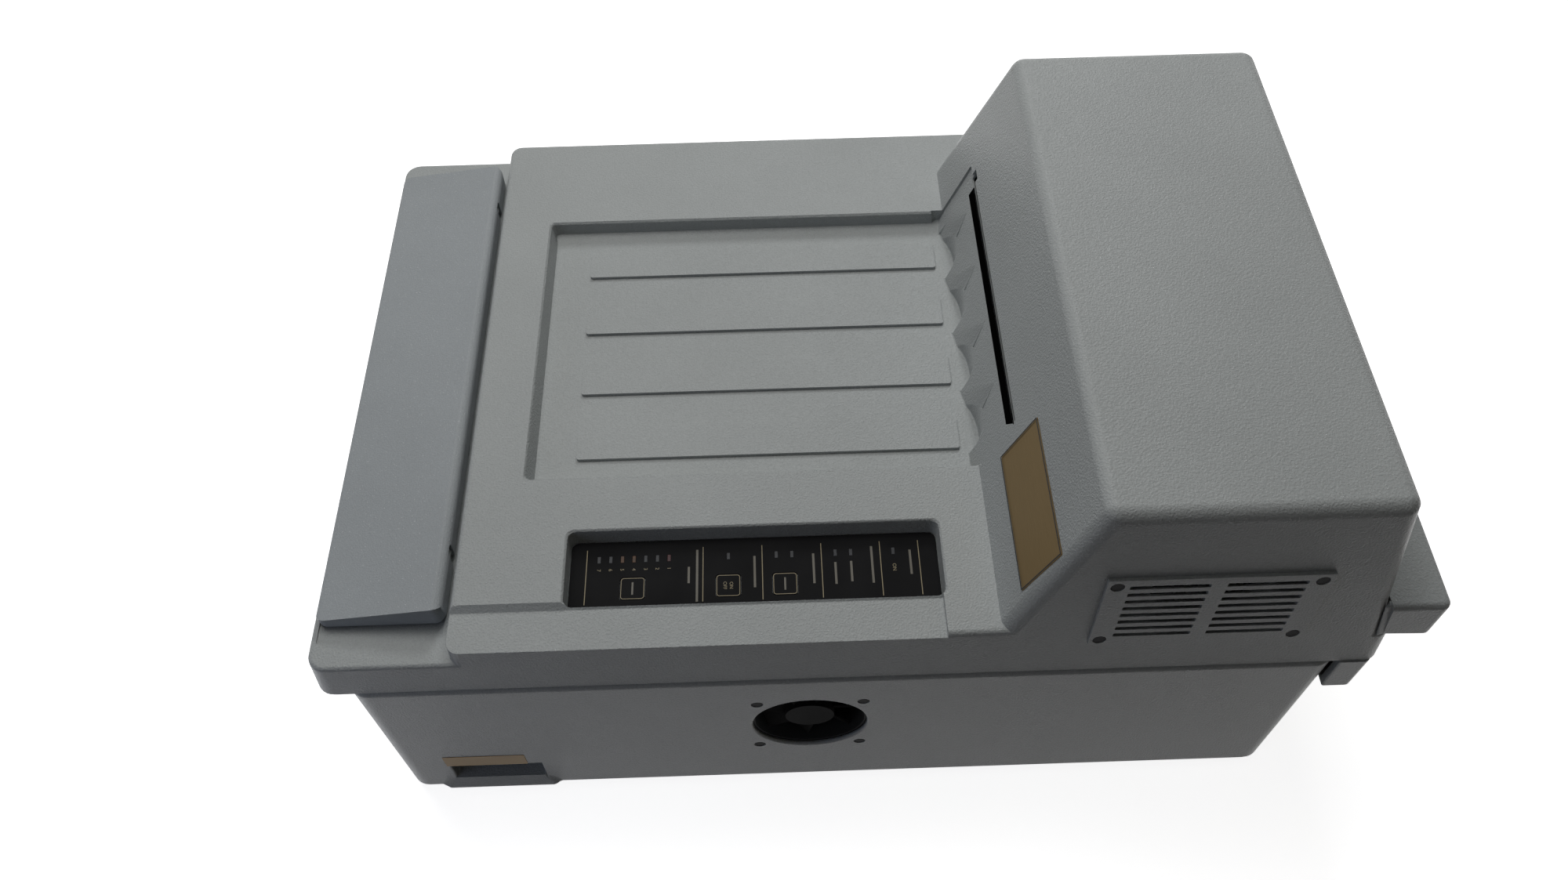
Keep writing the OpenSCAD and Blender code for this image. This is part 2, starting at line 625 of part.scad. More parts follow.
// Magnetic circulation pumps in the far bay, one each for developer and fixer
bay_y = tank_y1 + tank_wall;
module circulation_pumps() color(dark_grey)
    for (x = [rack_xs[0], rack_xs[1]]) {
        z = tank_z0 + 12;
        rod_y(x, z, 9.8, tank_y1 + 0.5, bay_y + 12);
        translate([x, bay_y + 22, z - 14]) cylinder(d = 36, h = 22);
        translate([x, bay_y + 22, z + 8 - e]) cylinder(d = 44, h = 44);
        translate([x, bay_y + 22, z + 52 - 2 * e]) cylinder(d = 30, h = 6);
        rod_x(bay_y + 22, z - 4, 10, x + 14, x + 34);
    }

module replenish_pumps() color("#8a8d90")
    for (x = [fan_x + 10, fan_x + 60]) {
        z0 = foot_h + wall;
        box(x - 20, x + 20, bay_y + 10, bay_y + 50, z0, z0 + 34);
        translate([x, bay_y + 30, z0 + 34 - e]) rotate_extrude()
            polygon([[0, 0], [13, 0], [13, 3], [10, 5], [13, 7], [10, 9], [13, 11], [10, 13],
                     [13, 15], [10, 17], [13, 19], [9, 21], [9, 28], [0, 28]]);
    }

// Immersion heaters that hang in the developer and fixer tanks beside the racks
module tank_heaters() color(steel)
    for (x = [rack_xs[0], rack_xs[1]]) {
        hx = x - tank_in / 2 + 6;
        for (y = [film_y - 50, film_y + 50])
            translate([hx, y, tank_z0 + 14]) cylinder(d = 7, h = tank_z1 - tank_z0 - 14 + 4);
        rod_y(hx, tank_z0 + 14, 7, film_y - 50, film_y + 50);
        for (y = [film_y - 50, film_y + 50])
            box(hx - 12, hx + 4, y - 8, y + 8, tank_z1 + e, tank_z1 + 5);
    }

// Dryer blower behind the louvres
blower_x = cover_x0 + slope_x + 121;
blower_z = seam_z + 72;
blower_d = 84;
blower_y0 = near_at(hump_z) + wall + 3;
blower_t = 52;
module blower_housing() color(steel) {
    y1 = blower_y0 + blower_t;
    difference() {
        union() {
            rod_y(blower_x, blower_z, blower_d + 6, blower_y0, y1);
            box(blower_x, plenum_x0, blower_y0, y1, blower_z - blower_d / 2 - 3, blower_z - 8);
        }
        rod_y(blower_x, blower_z, blower_d + 2, blower_y0 + 2, y1 - 2);
        box(blower_x, plenum_x0 + 1, blower_y0 + 2, y1 - 2, blower_z - blower_d / 2 - 1,
            blower_z - 10);
        rod_y(blower_x, blower_z, blower_d - 22, blower_y0 - 1, blower_y0 + 3);
    }
    // Motor on the back plate, and the shaft that the wheel turns on
    rod_y(blower_x, blower_z, 42, y1 - e, y1 + 30);
    rod_y(blower_x, blower_z, 6, blower_y0 + 8, y1 - 2 + e);
    // Stand down to the floor of the tub
    box(blower_x - 30, blower_x + 30, y1 - 2, y1, foot_h + wall, blower_z - blower_d / 2);
}

module blower_wheel() color(dark_grey) {
    y0 = blower_y0 + 4;
    y1 = blower_y0 + blower_t - 5;
    vanes = 24;
    difference() {
        union() {
            rod_y(blower_x, blower_z, blower_d - 6, y1 - 2, y1);
            rod_y(blower_x, blower_z, 18, y0 + 8, y1);
        }
        rod_y(blower_x, blower_z, 6 + 2 * run_gap, y0 - 1, y1 + 1);
    }
    difference() {
        rod_y(blower_x, blower_z, blower_d - 6, y0, y0 + 2);
        rod_y(blower_x, blower_z, blower_d - 22, y0 - 1, y0 + 3);
    }
    for (i = [0:vanes - 1])
        translate([blower_x, 0, blower_z]) rotate([0, i * 360 / vanes, 0])
            translate([blower_d / 2 - 10, y0 + 1, 0]) rotate([0, 30, 0])
                cube([7, y1 - y0 - 2, 1]);
}

// Plenum behind the drum: blown air leaves it through slots that face the film
plenum_x0 = drum_x + 77;
plenum_x1 = plenum_x0 + 26;
plenum_t = 1.5;
plenum_z0 = lower_z + 22;
plenum_z1 = dryer_top - 6;
module air_plenum() color(steel) {
    y0 = blower_y0;
    y1 = plate_y1;
    t = plenum_t;
    g = sheet_gap;
    // Floor, roof, ends and outer wall
    for (z = [plenum_z0, plenum_z1 - t])
        box(plenum_x0, plenum_x1, y0, y1, z, z + t);
    for (y = [y0, y1 - t])
        box(plenum_x0, plenum_x1, y, y + t, plenum_z0 + t + g, plenum_z1 - t - g);
    box(plenum_x1 - t, plenum_x1, y0 + t + g, y1 - t - g, plenum_z0 + t + g, plenum_z1 - t - g);
    // Wall towards the drum, with the long air mouth and the opening to the blower
    difference() {
        box(plenum_x0, plenum_x0 + t, y0 + t + g, y1 - t - g, plenum_z0 + t + g,
            plenum_z1 - t - g);
        box(plenum_x0 - 1, plenum_x0 + 2, film_y - 100, film_y + 100, drum_z - 8, drum_z + 8);
        box(plenum_x0 - 1, plenum_x0 + 2, y0 + 2, y0 + blower_t - 2,
            blower_z - blower_d / 2 - 1, blower_z - 10);
    }
    for (y = [plate_y0, plate_y1 - 14])
        box(plenum_x0, plenum_x1, y, y + 14, foot_h + wall, plenum_z0 - g);
}

module dryer_heater() color("#7c5f4a") {
    x = (plenum_x0 + plenum_x1) / 2;
    y0 = blower_y0 + blower_t + 12;
    y1 = plate_y1 - 1.5;
    for (z = [plenum_z0 + 24, plenum_z0 + 50, plenum_z0 + 76]) {
        rod_y(x, z, 7, y0 - 8, y1);
        for (i = [0:9])
            rod_y(x, z, 17, y0 + i * 21, y0 + i * 21 + 1);
    }
}

module drain_spigots() color(nylon)
    for (y = spigot_ys) translate([tub_x1 - wall, y, spigot_z]) rotate([0, 90, 0])
        rotate_extrude() {
            r = spigot_r - 2;
            nut = wall + spigot_collar;
            polygon([[r, -10], [spigot_r + 4, -10], [spigot_r + 4, 0], [spigot_r, 0],
                     [spigot_r, wall], [spigot_r + 4, wall], [spigot_r + 4, nut], [spigot_r, nut],
                     [spigot_r, wall + spigot_l], [r, wall + spigot_l]]);
        }

module water_valve() color("#2e5f8a") {
    // Solenoid valve inside the tub, its threaded inlet through the end wall
    difference() {
        union() {
            rod_x(water_y, spigot_z, 2 * water_r, tub_x1 - wall - e, tub_x1 + spigot_l);
            rod_x(water_y, spigot_z, 2 * water_r + 8, tub_x1, tub_x1 + spigot_collar);
        }
        rod_x(water_y, spigot_z, 18, tub_x1, tub_x1 + spigot_l + 1);
    }
    box(tub_x1 - wall - 34, tub_x1 - wall, water_y - 15, water_y + 15, spigot_z - 15, spigot_z + 15);
    translate([tub_x1 - wall - 18, water_y, spigot_z + 15 - e]) cylinder(d = 26, h = 34);
}

// Top cover

slot_y0 = film_y - 117;
slot_y1 = slot_y0 + 218;
notch_pitch = rib_pitch * 0.96;
notch_z = tray_z + 43.5;
guide_in = 2;
ramp_w = 12;            // shallow ramp along the tray's far wall
ramp_h = 3.2;
scoop_h = 1.8;          // depth of the finger scoop at the lid
rim_cut = 1.4;          // bevel of the rims of the two recesses
lid_x0 = cover_x0 + 5.5;
lid_x1 = deck_x0 - 5.5;
lid_y0 = near_y + 34;
lid_y1 = lid_y0 + 400;
hinge_x = lid_x1 - 6;
hinge_z = shelf_z + 8.5;
lug_ys = [lid_y0 + 45, lid_y1 - 42];
feed_hole_x0 = cover_x0 + 14;
feed_hole_x1 = feed_x - 11;
feed_hole_y0 = film_y - 112;
feed_hole_y1 = film_y + 112;
grille_x0 = cover_x0 + slope_x + 54;
grille_x1 = grille_x0 + 133.5;
grille_z0 = seam_z + 37;
grille_z1 = grille_z0 + 71.5;
grille_t = 2.5;
near_deg = atan(near_slope);

module cover_outer() {
    lean = [near_slope, near_slope, near_slope, far_slope];
    y0 = near_y + skirt_in;
    y1 = far_y - skirt_in;
    // Skirt and feed shelf
    leaning_block(cover_x0, cover_x1, y0, y1, seam_z, shelf_z, lean, 12, edge_r - 1);
    // Deck
    leaning_block(deck_x0 - 2, cover_x0 + slope_x + 130, y0, y1, seam_z, deck_z,
        [0.03, 0, near_slope, far_slope], 9, edge_r);
    // Dryer hump
    leaning_block(slope_at(seam_z), hump_x1, y0, hump_far_y, seam_z, hump_z,
        [slope_run, hump_right_slope, near_slope, hump_far_slope], hump_r + 1, hump_r);
}

// Space inside the cover, one wall in from the outside
module cover_inner() {
    w = wall;
    z_low = seam_z - 1;
    box(cover_x0 + w + 3, cover_x1 - w - 3, near_at(shelf_z) + w, far_at(shelf_z) - w,
        z_low, shelf_z - w);
    box(deck_x0 + w, cover_x0 + slope_x + 20, near_at(deck_z) + w, far_at(deck_z) - w,
        z_low, deck_z - w);
    top = hump_z - w;
    intersection() {
        profile_y(near_y, far_y)
            polygon([[slope_at(z_low) + w * slope_len, z_low], [slope_at(top) + w * slope_len, top],
                     [hump_right_at(top) - w * 1.02, top], [hump_right_at(z_low) - w * 1.02, z_low]]);
        profile_x(cover_x0, cover_x1)
            polygon([[near_at(z_low) + w, z_low], [near_at(top) + w, top],
                     [hump_far_at(top) - w, top], [hump_far_at(z_low) - w, z_low]]);
    }
}

// Solid that forms the walls of the tray and the control recess inside the cover
module pan_walls() {
    box(tray_x0 - wall, slope_at(tray_z) + wall, tray_y0 - wall, tray_y1 + wall,
        tray_z - wall, deck_z);
    box(panel_x0 - wall, panel_x1 + wall, panel_y0 - wall, panel_y1 + wall,
        tray_z - wall, deck_z);
    // Roof under the strip in front of the controls
    box(deck_x0, strip_x1 + wall, near_y, panel_y0 + 3 + wall, strip_z - wall, deck_z);
    // Material behind the film guide
    profile_y(tray_y0 - wall, tray_y1 + wall)
        polygon([[slope_at(tray_z) - 2, tray_z - wall], [slope_at(notch_z) + wall + 2, tray_z - wall],
                 [slope_at(notch_z) + wall + 2, notch_z], [slope_at(notch_z) + 1, notch_z + 2],
                 [slope_at(tray_z) - 2, tray_z]]);
}

module tray_cut() {
    // The tray itself, its right wall being the slope of the hump
    leaning_block(tray_x0 + 4, slope_at(tray_z) + e, tray_y0 + 3, tray_y1 - 3, tray_z, deck_z + 12,
        [-0.28, -slope_run, -0.2, -0.08], 3, 0);
    deep = deck_z - rim_cut - tray_z;
    leaning_block(tray_x0 + 4 - 0.28 * deep, slope_at(deck_z) + e, tray_y0 + 3 - 0.2 * deep,
        tray_y1 - 3 + 0.08 * deep, deck_z - rim_cut, deck_z + 3, [-1, -slope_run, -1, -1], 3, 0);
    // Shallow inset of the film guide in the slope
    profile_y(tray_y0, tray_y1)
        polygon([[slope_at(tray_z), tray_z], [slope_at(tray_z) + guide_in, tray_z],
                 [slope_at(slot_z + 1) + guide_in, slot_z + 1], [slope_at(slot_z + 1), slot_z + 1],
                 [slope_at(slot_z) - 30, slot_z], [slope_at(tray_z) - 2, tray_z]]);
}

// One pocket of the film guide: a scallop with upright walls, and above it a facet that leads
// up to a peak at y under the slot
module guide_pocket(y) {
    foot = slope_at(tray_z) + guide_in;
    tip = y + 24.5;
    peak = slope_at(notch_z) + guide_in;
    fold = slope_at(tray_z + 24) + guide_in + 0.5;
    out = [-25, 0, 0];
    corners = [[foot, tip, tray_z], [peak, y, notch_z], [fold, y - 9.5, tray_z + 24],
               [foot + 2.6, tip - 13, tray_z]];
    translate([0, 0, tray_z]) linear_extrude(deck_z - tray_z + 15)
        polygon([[foot - 25, tip - 13], [foot + 2.6, tip - 13], [foot + 5.6, tip - 19],
                 [foot + 7.7, tip - 26.5], [foot + 8.7, tip - 34], [foot + 8.7, tip - 43],
                 [foot + 7.6, tip - 49], [foot + 4.5, tip - 52.5], [foot, tip - notch_pitch],
                 [foot - 25, tip - notch_pitch]]);
    intersection() {
        polyhedron(concat(corners, [for (c = corners) c + out]),
            [[0, 3, 1], [1, 3, 2], [4, 5, 7], [5, 6, 7],
             [3, 0, 4, 7], [2, 3, 7, 6], [1, 2, 6, 5], [0, 1, 5, 4]]);
        box(foot - 40, peak + 10, tray_y0, tray_y1 - 13, tray_z, notch_z + 1);
    }
}

// Finger scoop in the shelf, under the near end of the lid: deepest at the lid
module lid_scoop() {
    intersection() {
        translate([cover_x0, near_y, shelf_z - 4]) linear_extrude(8)
            polygon([[6.5, 44], [6.5, 23], [11.5, 18], [37.5, 12], [63.5, 8], [76.5, 8.5],
                     [84, 14], [86.5, 25], [86.5, 44]]);
        profile_x(cover_x0, deck_x0) polygon([[near_y + 7, shelf_z], [near_y + 44, shelf_z - scoop_h],
            [near_y + 44, shelf_z + 4], [near_y + 7, shelf_z + 4]]);
    }
}

module tray_ribs() {
    x0 = tray_x0 + 32;
    x1 = tray_x1 - 5;
    for (i = [-1.5:1:1.5])
        round_slab(x0, x1, film_y + i * rib_pitch - 13.5, film_y + i * rib_pitch + 13.5,
            tray_z - e, tray_z + rib_h, 2);
    // Ramp at the foot of the far wall
    profile_x(tray_x0 - 1, slope_at(tray_z) + guide_in + 3)
        polygon([[tray_y1 + 1, tray_z - e], [tray_y1 - ramp_w - 1, tray_z - e],
                 [tray_y1 - ramp_w - 1, tray_z], [tray_y1 - 1, tray_z + ramp_h], [tray_y1 + 1, tray_z + ramp_h]]);
}

// Leans a form into the plane of the near wall: its back lies on the wall at height z
module on_near_wall(z) {
    translate([0, near_at(z), z]) rotate([-near_deg, 0, 0]) children();
}

module top_cover() color(off_white) {
    difference() {
        cover_outer();
        difference() {
            cover_inner();
            pan_walls();
        }
        tray_cut();
        for (i = [-1.5:1:1.5]) guide_pocket(film_y + i * notch_pitch + 9);
        // Step of the strip in front of the controls
        profile_x(deck_x0 - 5, strip_x1)
            polygon([[near_y - 5, strip_z], [panel_y0 - 1, strip_z], [panel_y0 + 3, deck_z],
                     [panel_y0 + 3, deck_z + 5], [near_y - 5, deck_z + 5]]);
        // Control recess
        leaning_block(panel_x0 + 1, panel_x1 - 1, panel_y0 + 1, panel_y1 - 1, tray_z, deck_z + 5,
            [-0.06, -0.06, -0.06, -0.15], 5, 0);
        leaning_block(panel_x0 + 0.3, panel_x1 - 0.3, panel_y0 + 0.3, panel_y1 + 0.7,
            deck_z - rim_cut, deck_z + 3, [-1, -1, -1, -1], 5, 0);
        lid_scoop();
        // Film slot, square to the slope, with the notch at its far end
        translate([slope_at(slot_z), 0, slot_z]) rotate([0, 90 - slope_deg, 0]) {
            box(-8, 12, slot_y0, slot_y1, -slot_h / 2, slot_h / 2);
            box(-8, 12, slot_y1 - e, slot_y1 + 9, -slot_h / 2, slot_h / 2 + 3);
        }
        // Air opening behind the louvres
        round_slab_y(grille_x0 + 12, grille_x1 - 12, grille_z0 + 3, grille_z1 - 3,
            near_y, near_at(hump_z) + wall + 1, 2);
        for (x = [grille_x0 + 6.5, grille_x1 - 6.5], z = [grille_z0 + 5, grille_z1 - 7])
            rod_y(x, z, 3, near_y, near_at(hump_z) + wall + 1);
        // Opening in the feed shelf
        box(feed_hole_x0, feed_hole_x1, feed_hole_y0, feed_hole_y1, shelf_z - 10, shelf_z + 1);
    }
    tray_ribs();
    // Lugs that carry the lid's hinge pins
    for (y = lug_ys) difference() {
        union() {
            box(hinge_x - 5, hinge_x + 3, y - 3, y + 3, shelf_z - e, hinge_z);
            rod_y(hinge_x, hinge_z, 10, y - 3, y + 3);
        }
        rod_y(hinge_x, hinge_z, 4, y - 4, y + 4);
    }
}

module vent_grille() color(off_white) {
    lh = 71.5;
    w = grille_x1 - grille_x0;
    translate([grille_x0, 0, 0]) on_near_wall(grille_z0) difference() {
        translate([0, -grille_t, 0]) cube([w, grille_t, lh]);
        // Two columns of slanted slots
        for (c = [0, 1], i = [0:7])
            translate([14 + c * 57.5, -grille_t / 2, 9.5 + i * 7.6]) rotate([-35, 0, 0])
                translate([0, -4, -1.3]) cube([47.5, 8, 2.6]);
        for (x = [6.5, w - 6.5], z = [5, lh - 7]) {
            translate([x, 1, z]) rotate([90, 0, 0]) cylinder(d = 4.4, h = grille_t + 2);
            translate([x, -grille_t + 1.8, z]) rotate([90, 0, 0])
                cylinder(d = screw_head_d + 0.8, h = 4);
        }
    }
}

module grille_screws() color(black) {
    w = grille_x1 - grille_x0;
    lh = 71.5;
    translate([grille_x0, 0, 0]) on_near_wall(grille_z0)
        for (x = [6.5, w - 6.5], z = [5, lh - 7]) {
            translate([x, -grille_t + 1.8, z]) rotate([90, 0, 0]) cylinder(d = screw_head_d, h = 1.4);
            translate([x, -e, z]) rotate([90, 0, 0]) cylinder(d = 4, h = grille_t - 1.8);
        }
}

// Duct that carries the dryer's damp air over the end of the machine
exhaust_z1 = shelf_z + 34.5;
module exhaust_duct() color(off_white) {
    x1 = cover_x1 + duct_out;
    y0 = near_at(shelf_z) + 0.3;
    y1 = hump_far_y - 12;
    difference() {
        leaning_block(hump_right_at(shelf_z) - 12, x1, y0, y1, shelf_z, exhaust_z1,
            [0, 0, 0.02, 0.1], 6, 4);
        // Seat against the hump's end wall
        profile_y(near_y, far_y)
            polygon([[hump_right_at(shelf_z - 5), shelf_z - 5],
                     [hump_right_at(exhaust_z1 + 5), exhaust_z1 + 5],
                     [hump_right_at(shelf_z) - 40, exhaust_z1 + 5],
                     [hump_right_at(shelf_z) - 40, shelf_z - 5]]);
        // The duct is open below, past the end of the cover
        box(hump_right_at(shelf_z) - 10, x1 - wall, y0 + wall + 2, y1 - wall - 4,
            shelf_z + wall, exhaust_z1 - wall);
        box(cover_x1 + 1, x1 - wall, y0 + wall + 6, y1 - wall - 8, shelf_z - 1, shelf_z + wall + 1);
    }
    // Web that closes the round corner of the hump
    corner_web(shelf_z, exhaust_z1 - 1, 5);
}

// A three-sided web in front of the hump's round near corner, from z0 to z1
module corner_web(z0, z1, leg) {
    function ring(z) = [for (p = [[-leg, 0.3], [1, 0.3], [1, leg + 1.3], [0, leg + 0.3]])
        [hump_right_at(z) + p[0], near_at(z) + p[1], z]];
    polyhedron(concat(ring(z0), ring(z1)),
        [[0, 1, 2, 3], [7, 6, 5, 4], [0, 4, 5, 1], [1, 5, 6, 2], [2, 6, 7, 3], [3, 7, 4, 0]]);
}

plate_l = 98;
plate_h = 47.5;
module nameplate() color("#b59a62")
    translate([slope_at(deck_z + 26.5), near_y + 20, deck_z + 26.5])
        rotate([0, 90 - slope_deg, 0]) rotate([90, 0, 90])
            translate([0, 0, -0.8]) mirror([0, 0, 0]) linear_extrude(0.8)
                translate([plate_l / 2, plate_h / 2]) round_rect(plate_l, plate_h, 1.5);

key_hole = key_w + 2 * body_gap;
module control_panel() color(black) difference() {
    round_slab(panel_x0 + 1.5, panel_x1 - 1.5, panel_y0 + 1.5, panel_y1 - 1.5, tray_z, panel_z, 5);
    for (x = key_xs) round_slab(x - key_hole / 2, x + key_hole / 2, key_y - key_hole / 2,
        key_y + key_hole / 2, tray_z - 1, panel_z + 1, 2.5);
    for (x = led_xs) box(x - 1.15, x + 1.15, led_y - 2.55, led_y + 2.55, tray_z - 1, panel_z + 1);
}

module led_lenses() color("#4a3a3a")
    for (x = led_xs) box(x - 1.15, x + 1.15, led_y - 2.55, led_y + 2.55, tray_z, panel_z);

// A key floats a travel above the floor of the recess
module key(x) color(black)
    round_slab(x - key_w / 2, x + key_w / 2, key_y - key_w / 2, key_y + key_w / 2,
        tray_z + key_travel + 0.1, panel_z, 2.2);
module key_program() key(key_xs[0]);
module key_power() key(key_xs[1]);
module key_run() key(key_xs[2]);

module control_board() color("#2f5a3c") {
    z = tray_z - wall - 8;
    box(panel_x0 + 8, panel_x1 - 8, panel_y0 + 2, panel_y1 - 2, z, z + 1.6);
    for (x = [panel_x0 + 14, panel_x1 - 14], y = [panel_y0 + 8, panel_y1 - 8])
        translate([x, y, z + 1.6 - e]) cylinder(d = 5, h = tray_z - wall - z - 1.6 + e);
    box(panel_x0 + 60, panel_x0 + 84, panel_y0 + 20, panel_y0 + 34, z - 4, z + e);
    box(panel_x0 + 120, panel_x0 + 160, panel_y0 + 14, panel_y0 + 26, z - 5, z + e);
}

// Sloping tray that leads the film under the lid to the feed rollers
module feed_tray() color(black) {
    y0 = feed_hole_y0;
    y1 = feed_hole_y1;
    profile_y(y0, y1)
        polygon([[feed_hole_x0 - 4, shelf_z], [feed_hole_x0 - 4, shelf_z + 1.6],
                 [feed_hole_x0 + 3, shelf_z + 1.6], [feed_hole_x1, nip_z - 0.4],
                 [feed_hole_x1, nip_z - 2.4], [feed_hole_x0 + 2, shelf_z - 0.8],
                 [feed_hole_x0, shelf_z - 2], [feed_hole_x0, shelf_z]]);
}

pin_d = 4;
module hinge_pins() color(steel)
    for (y = lug_ys) rod_y(hinge_x, hinge_z, pin_d, y - 9, y + 9);

// Feed lid: a hollow wedge, low at the feed edge and round along the hinge edge. Its back is
// rounded about the hinge below, so that it clears the shelf as it turns.
lid_low_z = shelf_z + 8.5;
lid_high_z = deck_z + 0.3;
lid_wall = 2.5;
module lid_profile(inset) {
    r = 6 - inset;
    rl = 3.5 - inset;
    x0 = lid_x0 + inset;
    x1 = lid_x1 - inset;
    z0 = shelf_z + body_gap - (inset > 0 ? 1 : 0);
    tilt = atan((lid_high_z - lid_low_z) / (lid_x1 - lid_x0));
    heel_r = hinge_z - z0;
    heel_a = acos((x1 - hinge_x) / heel_r);
    polygon(concat(
        [[x0, z0]],
        [for (i = [0:4]) hinge_at(heel_r, -90 + i * (90 - heel_a) / 4)],
        [for (a = [0:15:90 + tilt]) [x1 - r + r * cos(a), lid_high_z - inset - r + r * sin(a)]],
        [for (a = [90 + tilt:15:175])
            [x0 + rl + rl * cos(a), lid_low_z - inset - rl + rl * sin(a)]]));
}
function hinge_at(r, a) = [hinge_x + r * cos(a), hinge_z + r * sin(a)];

module feed_lid() color(blue_white) {
    r = 7;
    difference() {
        intersection() {
            profile_y(lid_y0, lid_y1) lid_profile(0);
            round_slab(lid_x0, lid_x1, lid_y0, lid_y1, shelf_z, deck_z + 5, r);
        }
        difference() {
            profile_y(lid_y0 + lid_wall, lid_y1 - lid_wall) lid_profile(lid_wall);
            // Ribs on each side of the hinge lugs
            for (y = lug_ys, s = [-1, 1])
                box(hinge_x - 8, lid_x1, y + s * 6.5 - 2, y + s * 6.5 + 2, shelf_z - 2, deck_z);
        }
        for (y = lug_ys) {
            rod_y(hinge_x, hinge_z, pin_d + 2 * run_gap, y - 9.3, y + 9.3);
            // Slot in the back that passes the lug as the lid opens
            box(hinge_x - 1, lid_x1 + 1, y - 4, y + 4, shelf_z - 1, hinge_z + 6.5);
        }
    }
}

// Moving parts of the transport

module drive_shaft() color(steel)
    rod_x(shaft_y, shaft_z, shaft_d, bearing_xs[0] - 8, motor_x0 + 17);

wheel_xs = concat([feed_x], [for (x = rack_xs) x + exit_dx], [dryer_x]);
worm_turns = 4;
worm_pitch = PI * gear_m;
module drive_worms() color(nylon)
    for (x = wheel_xs) {
        len = worm_turns * worm_pitch;
        translate([x - len / 2, shaft_y, shaft_z]) rotate([0, 90, 0]) difference() {
            // The thread's valley meets the wheel's tooth over the middle of the worm
            linear_extrude(len, twist = 360 * worm_turns, slices = 8 * worm_turns, $fn = 12)
                rotate(worm_turns * 180) translate([worm_e, 0]) circle(r = worm_r);
            translate([0, 0, -1]) cylinder(d = shaft_d, h = len + 2);
        }
    }

// Roller with its journals through both side plates
module film_roller(x, z, d, y_near, y_far) {
    rod_y(x, z, d, face_y0, face_y1);
    rod_y(x, z, journal_d, y_near, y_far);
}

module lower_roller(x, z, phase, driven, geared) color(rubber) {
    film_roller(x, z, roller_d, driven ? wheel_y - gear_t / 2 - 1 : pinion_y - gear_t / 2,
        pair_y + pair_t + 1);
    if (geared) gear(x, z, wheel_teeth, gear_m, phase, pinion_y, gear_t);
    if (driven) gear(x, z, wheel_teeth, gear_m, wheel_phase, wheel_y, gear_t);
    gear(x, z, pair_teeth, pair_m, 90, pair_y + pair_t / 2, pair_t);
}

module upper_roller(x, z) color(rubber) {
    film_roller(x, z, roller_d, plate_y0 - 0.5, pair_y + pair_t + 1);
    gear(x, z, pair_teeth, pair_m, pair_phase, pair_y + pair_t / 2, pair_t);
}

module turn_roller(x) color(rubber) {
    film_roller(x, turn_z, turn_d, pinion_y - gear_t / 2, plate_y1 + 1);
    gear(x, turn_z, turn_teeth, gear_m, turn_phase, pinion_y, gear_t);
}

module idler_gear(x) color(nylon) difference() {
    hole_ring = idler_r * 0.56;
    gear(x + idler_dx, idler_z, idler_teeth, gear_m, idler_phase, pinion_y, gear_t);
    rod_y(x + idler_dx, idler_z, journal_d + 2 * run_gap, pinion_y - gear_t, pinion_y + gear_t);
    // Lightening holes
    for (a = [0:60:300])
        rod_y(x + idler_dx + hole_ring * cos(a), idler_z + hole_ring * sin(a), 15,
            pinion_y - gear_t, pinion_y + gear_t);
}

module feed_roller_lower() lower_roller(feed_x, lower_z, wheel_phase, true, false);
module feed_roller_upper() upper_roller(feed_x, upper_z);
module developer_roller_lower() lower_roller(rack_xs[0] + exit_dx, lower_z, wheel_phase, true, true);
module developer_roller_upper() upper_roller(rack_xs[0] + exit_dx, upper_z);
module developer_turn_roller() turn_roller(rack_xs[0]);
module developer_idler_gear() idler_gear(rack_xs[0]);
module fixer_roller_lower() lower_roller(rack_xs[1] + exit_dx, lower_z, wheel_phase, true, true);
module fixer_roller_upper() upper_roller(rack_xs[1] + exit_dx, upper_z);
module fixer_turn_roller() turn_roller(rack_xs[1]);
module fixer_idler_gear() idler_gear(rack_xs[1]);
module wash_roller_lower() lower_roller(rack_xs[2] + exit_dx, lower_z, wheel_phase, true, true);
module wash_roller_upper() upper_roller(rack_xs[2] + exit_dx, upper_z);
module wash_turn_roller() turn_roller(rack_xs[2]);
module wash_idler_gear() idler_gear(rack_xs[2]);
module dryer_roller_lower() lower_roller(dryer_x, lower_z, wheel_phase, true, true);
module dryer_roller_upper() upper_roller(dryer_x, upper_z);
module exit_roller_lower() lower_roller(exit_x, exit_z, exit_phase, false, true);
module exit_roller_upper() upper_roller(exit_x, exit_z + pair_gap);

module dryer_drum() color(steel) {
    rim = 2;
    difference() {
        rod_y(drum_x, drum_z, drum_d, face_y0, face_y1);
        rod_y(drum_x, drum_z, drum_d - 2 * rim, face_y0 + 3, face_y1 - 3);
        // Rows of holes that let the warm air through the drum
        for (a = [0:45:315], i = [0:5])
            translate([drum_x, face_y0 + 24 + i * 35, drum_z]) rotate([0, a, 0])
                translate([drum_d / 2 - rim - 1, 0, 0]) rotate([0, 90, 0])
                    cylinder(d = 9, h = rim + 2);
    }
    // Webs that carry the shell on the spindle
    for (a = [22.5, 112.5])
        translate([drum_x, 0, drum_z]) rotate([0, a, 0])
            box(-drum_d / 2 + 1, drum_d / 2 - 1, face_y0 + 2, face_y1 - 2, -1, 1);
    rod_y(drum_x, drum_z, journal_d, pinion_y - gear_t / 2, plate_y1 + 1);
    gear(drum_x, drum_z, drum_teeth, gear_m, drum_phase, pinion_y, gear_t);
}

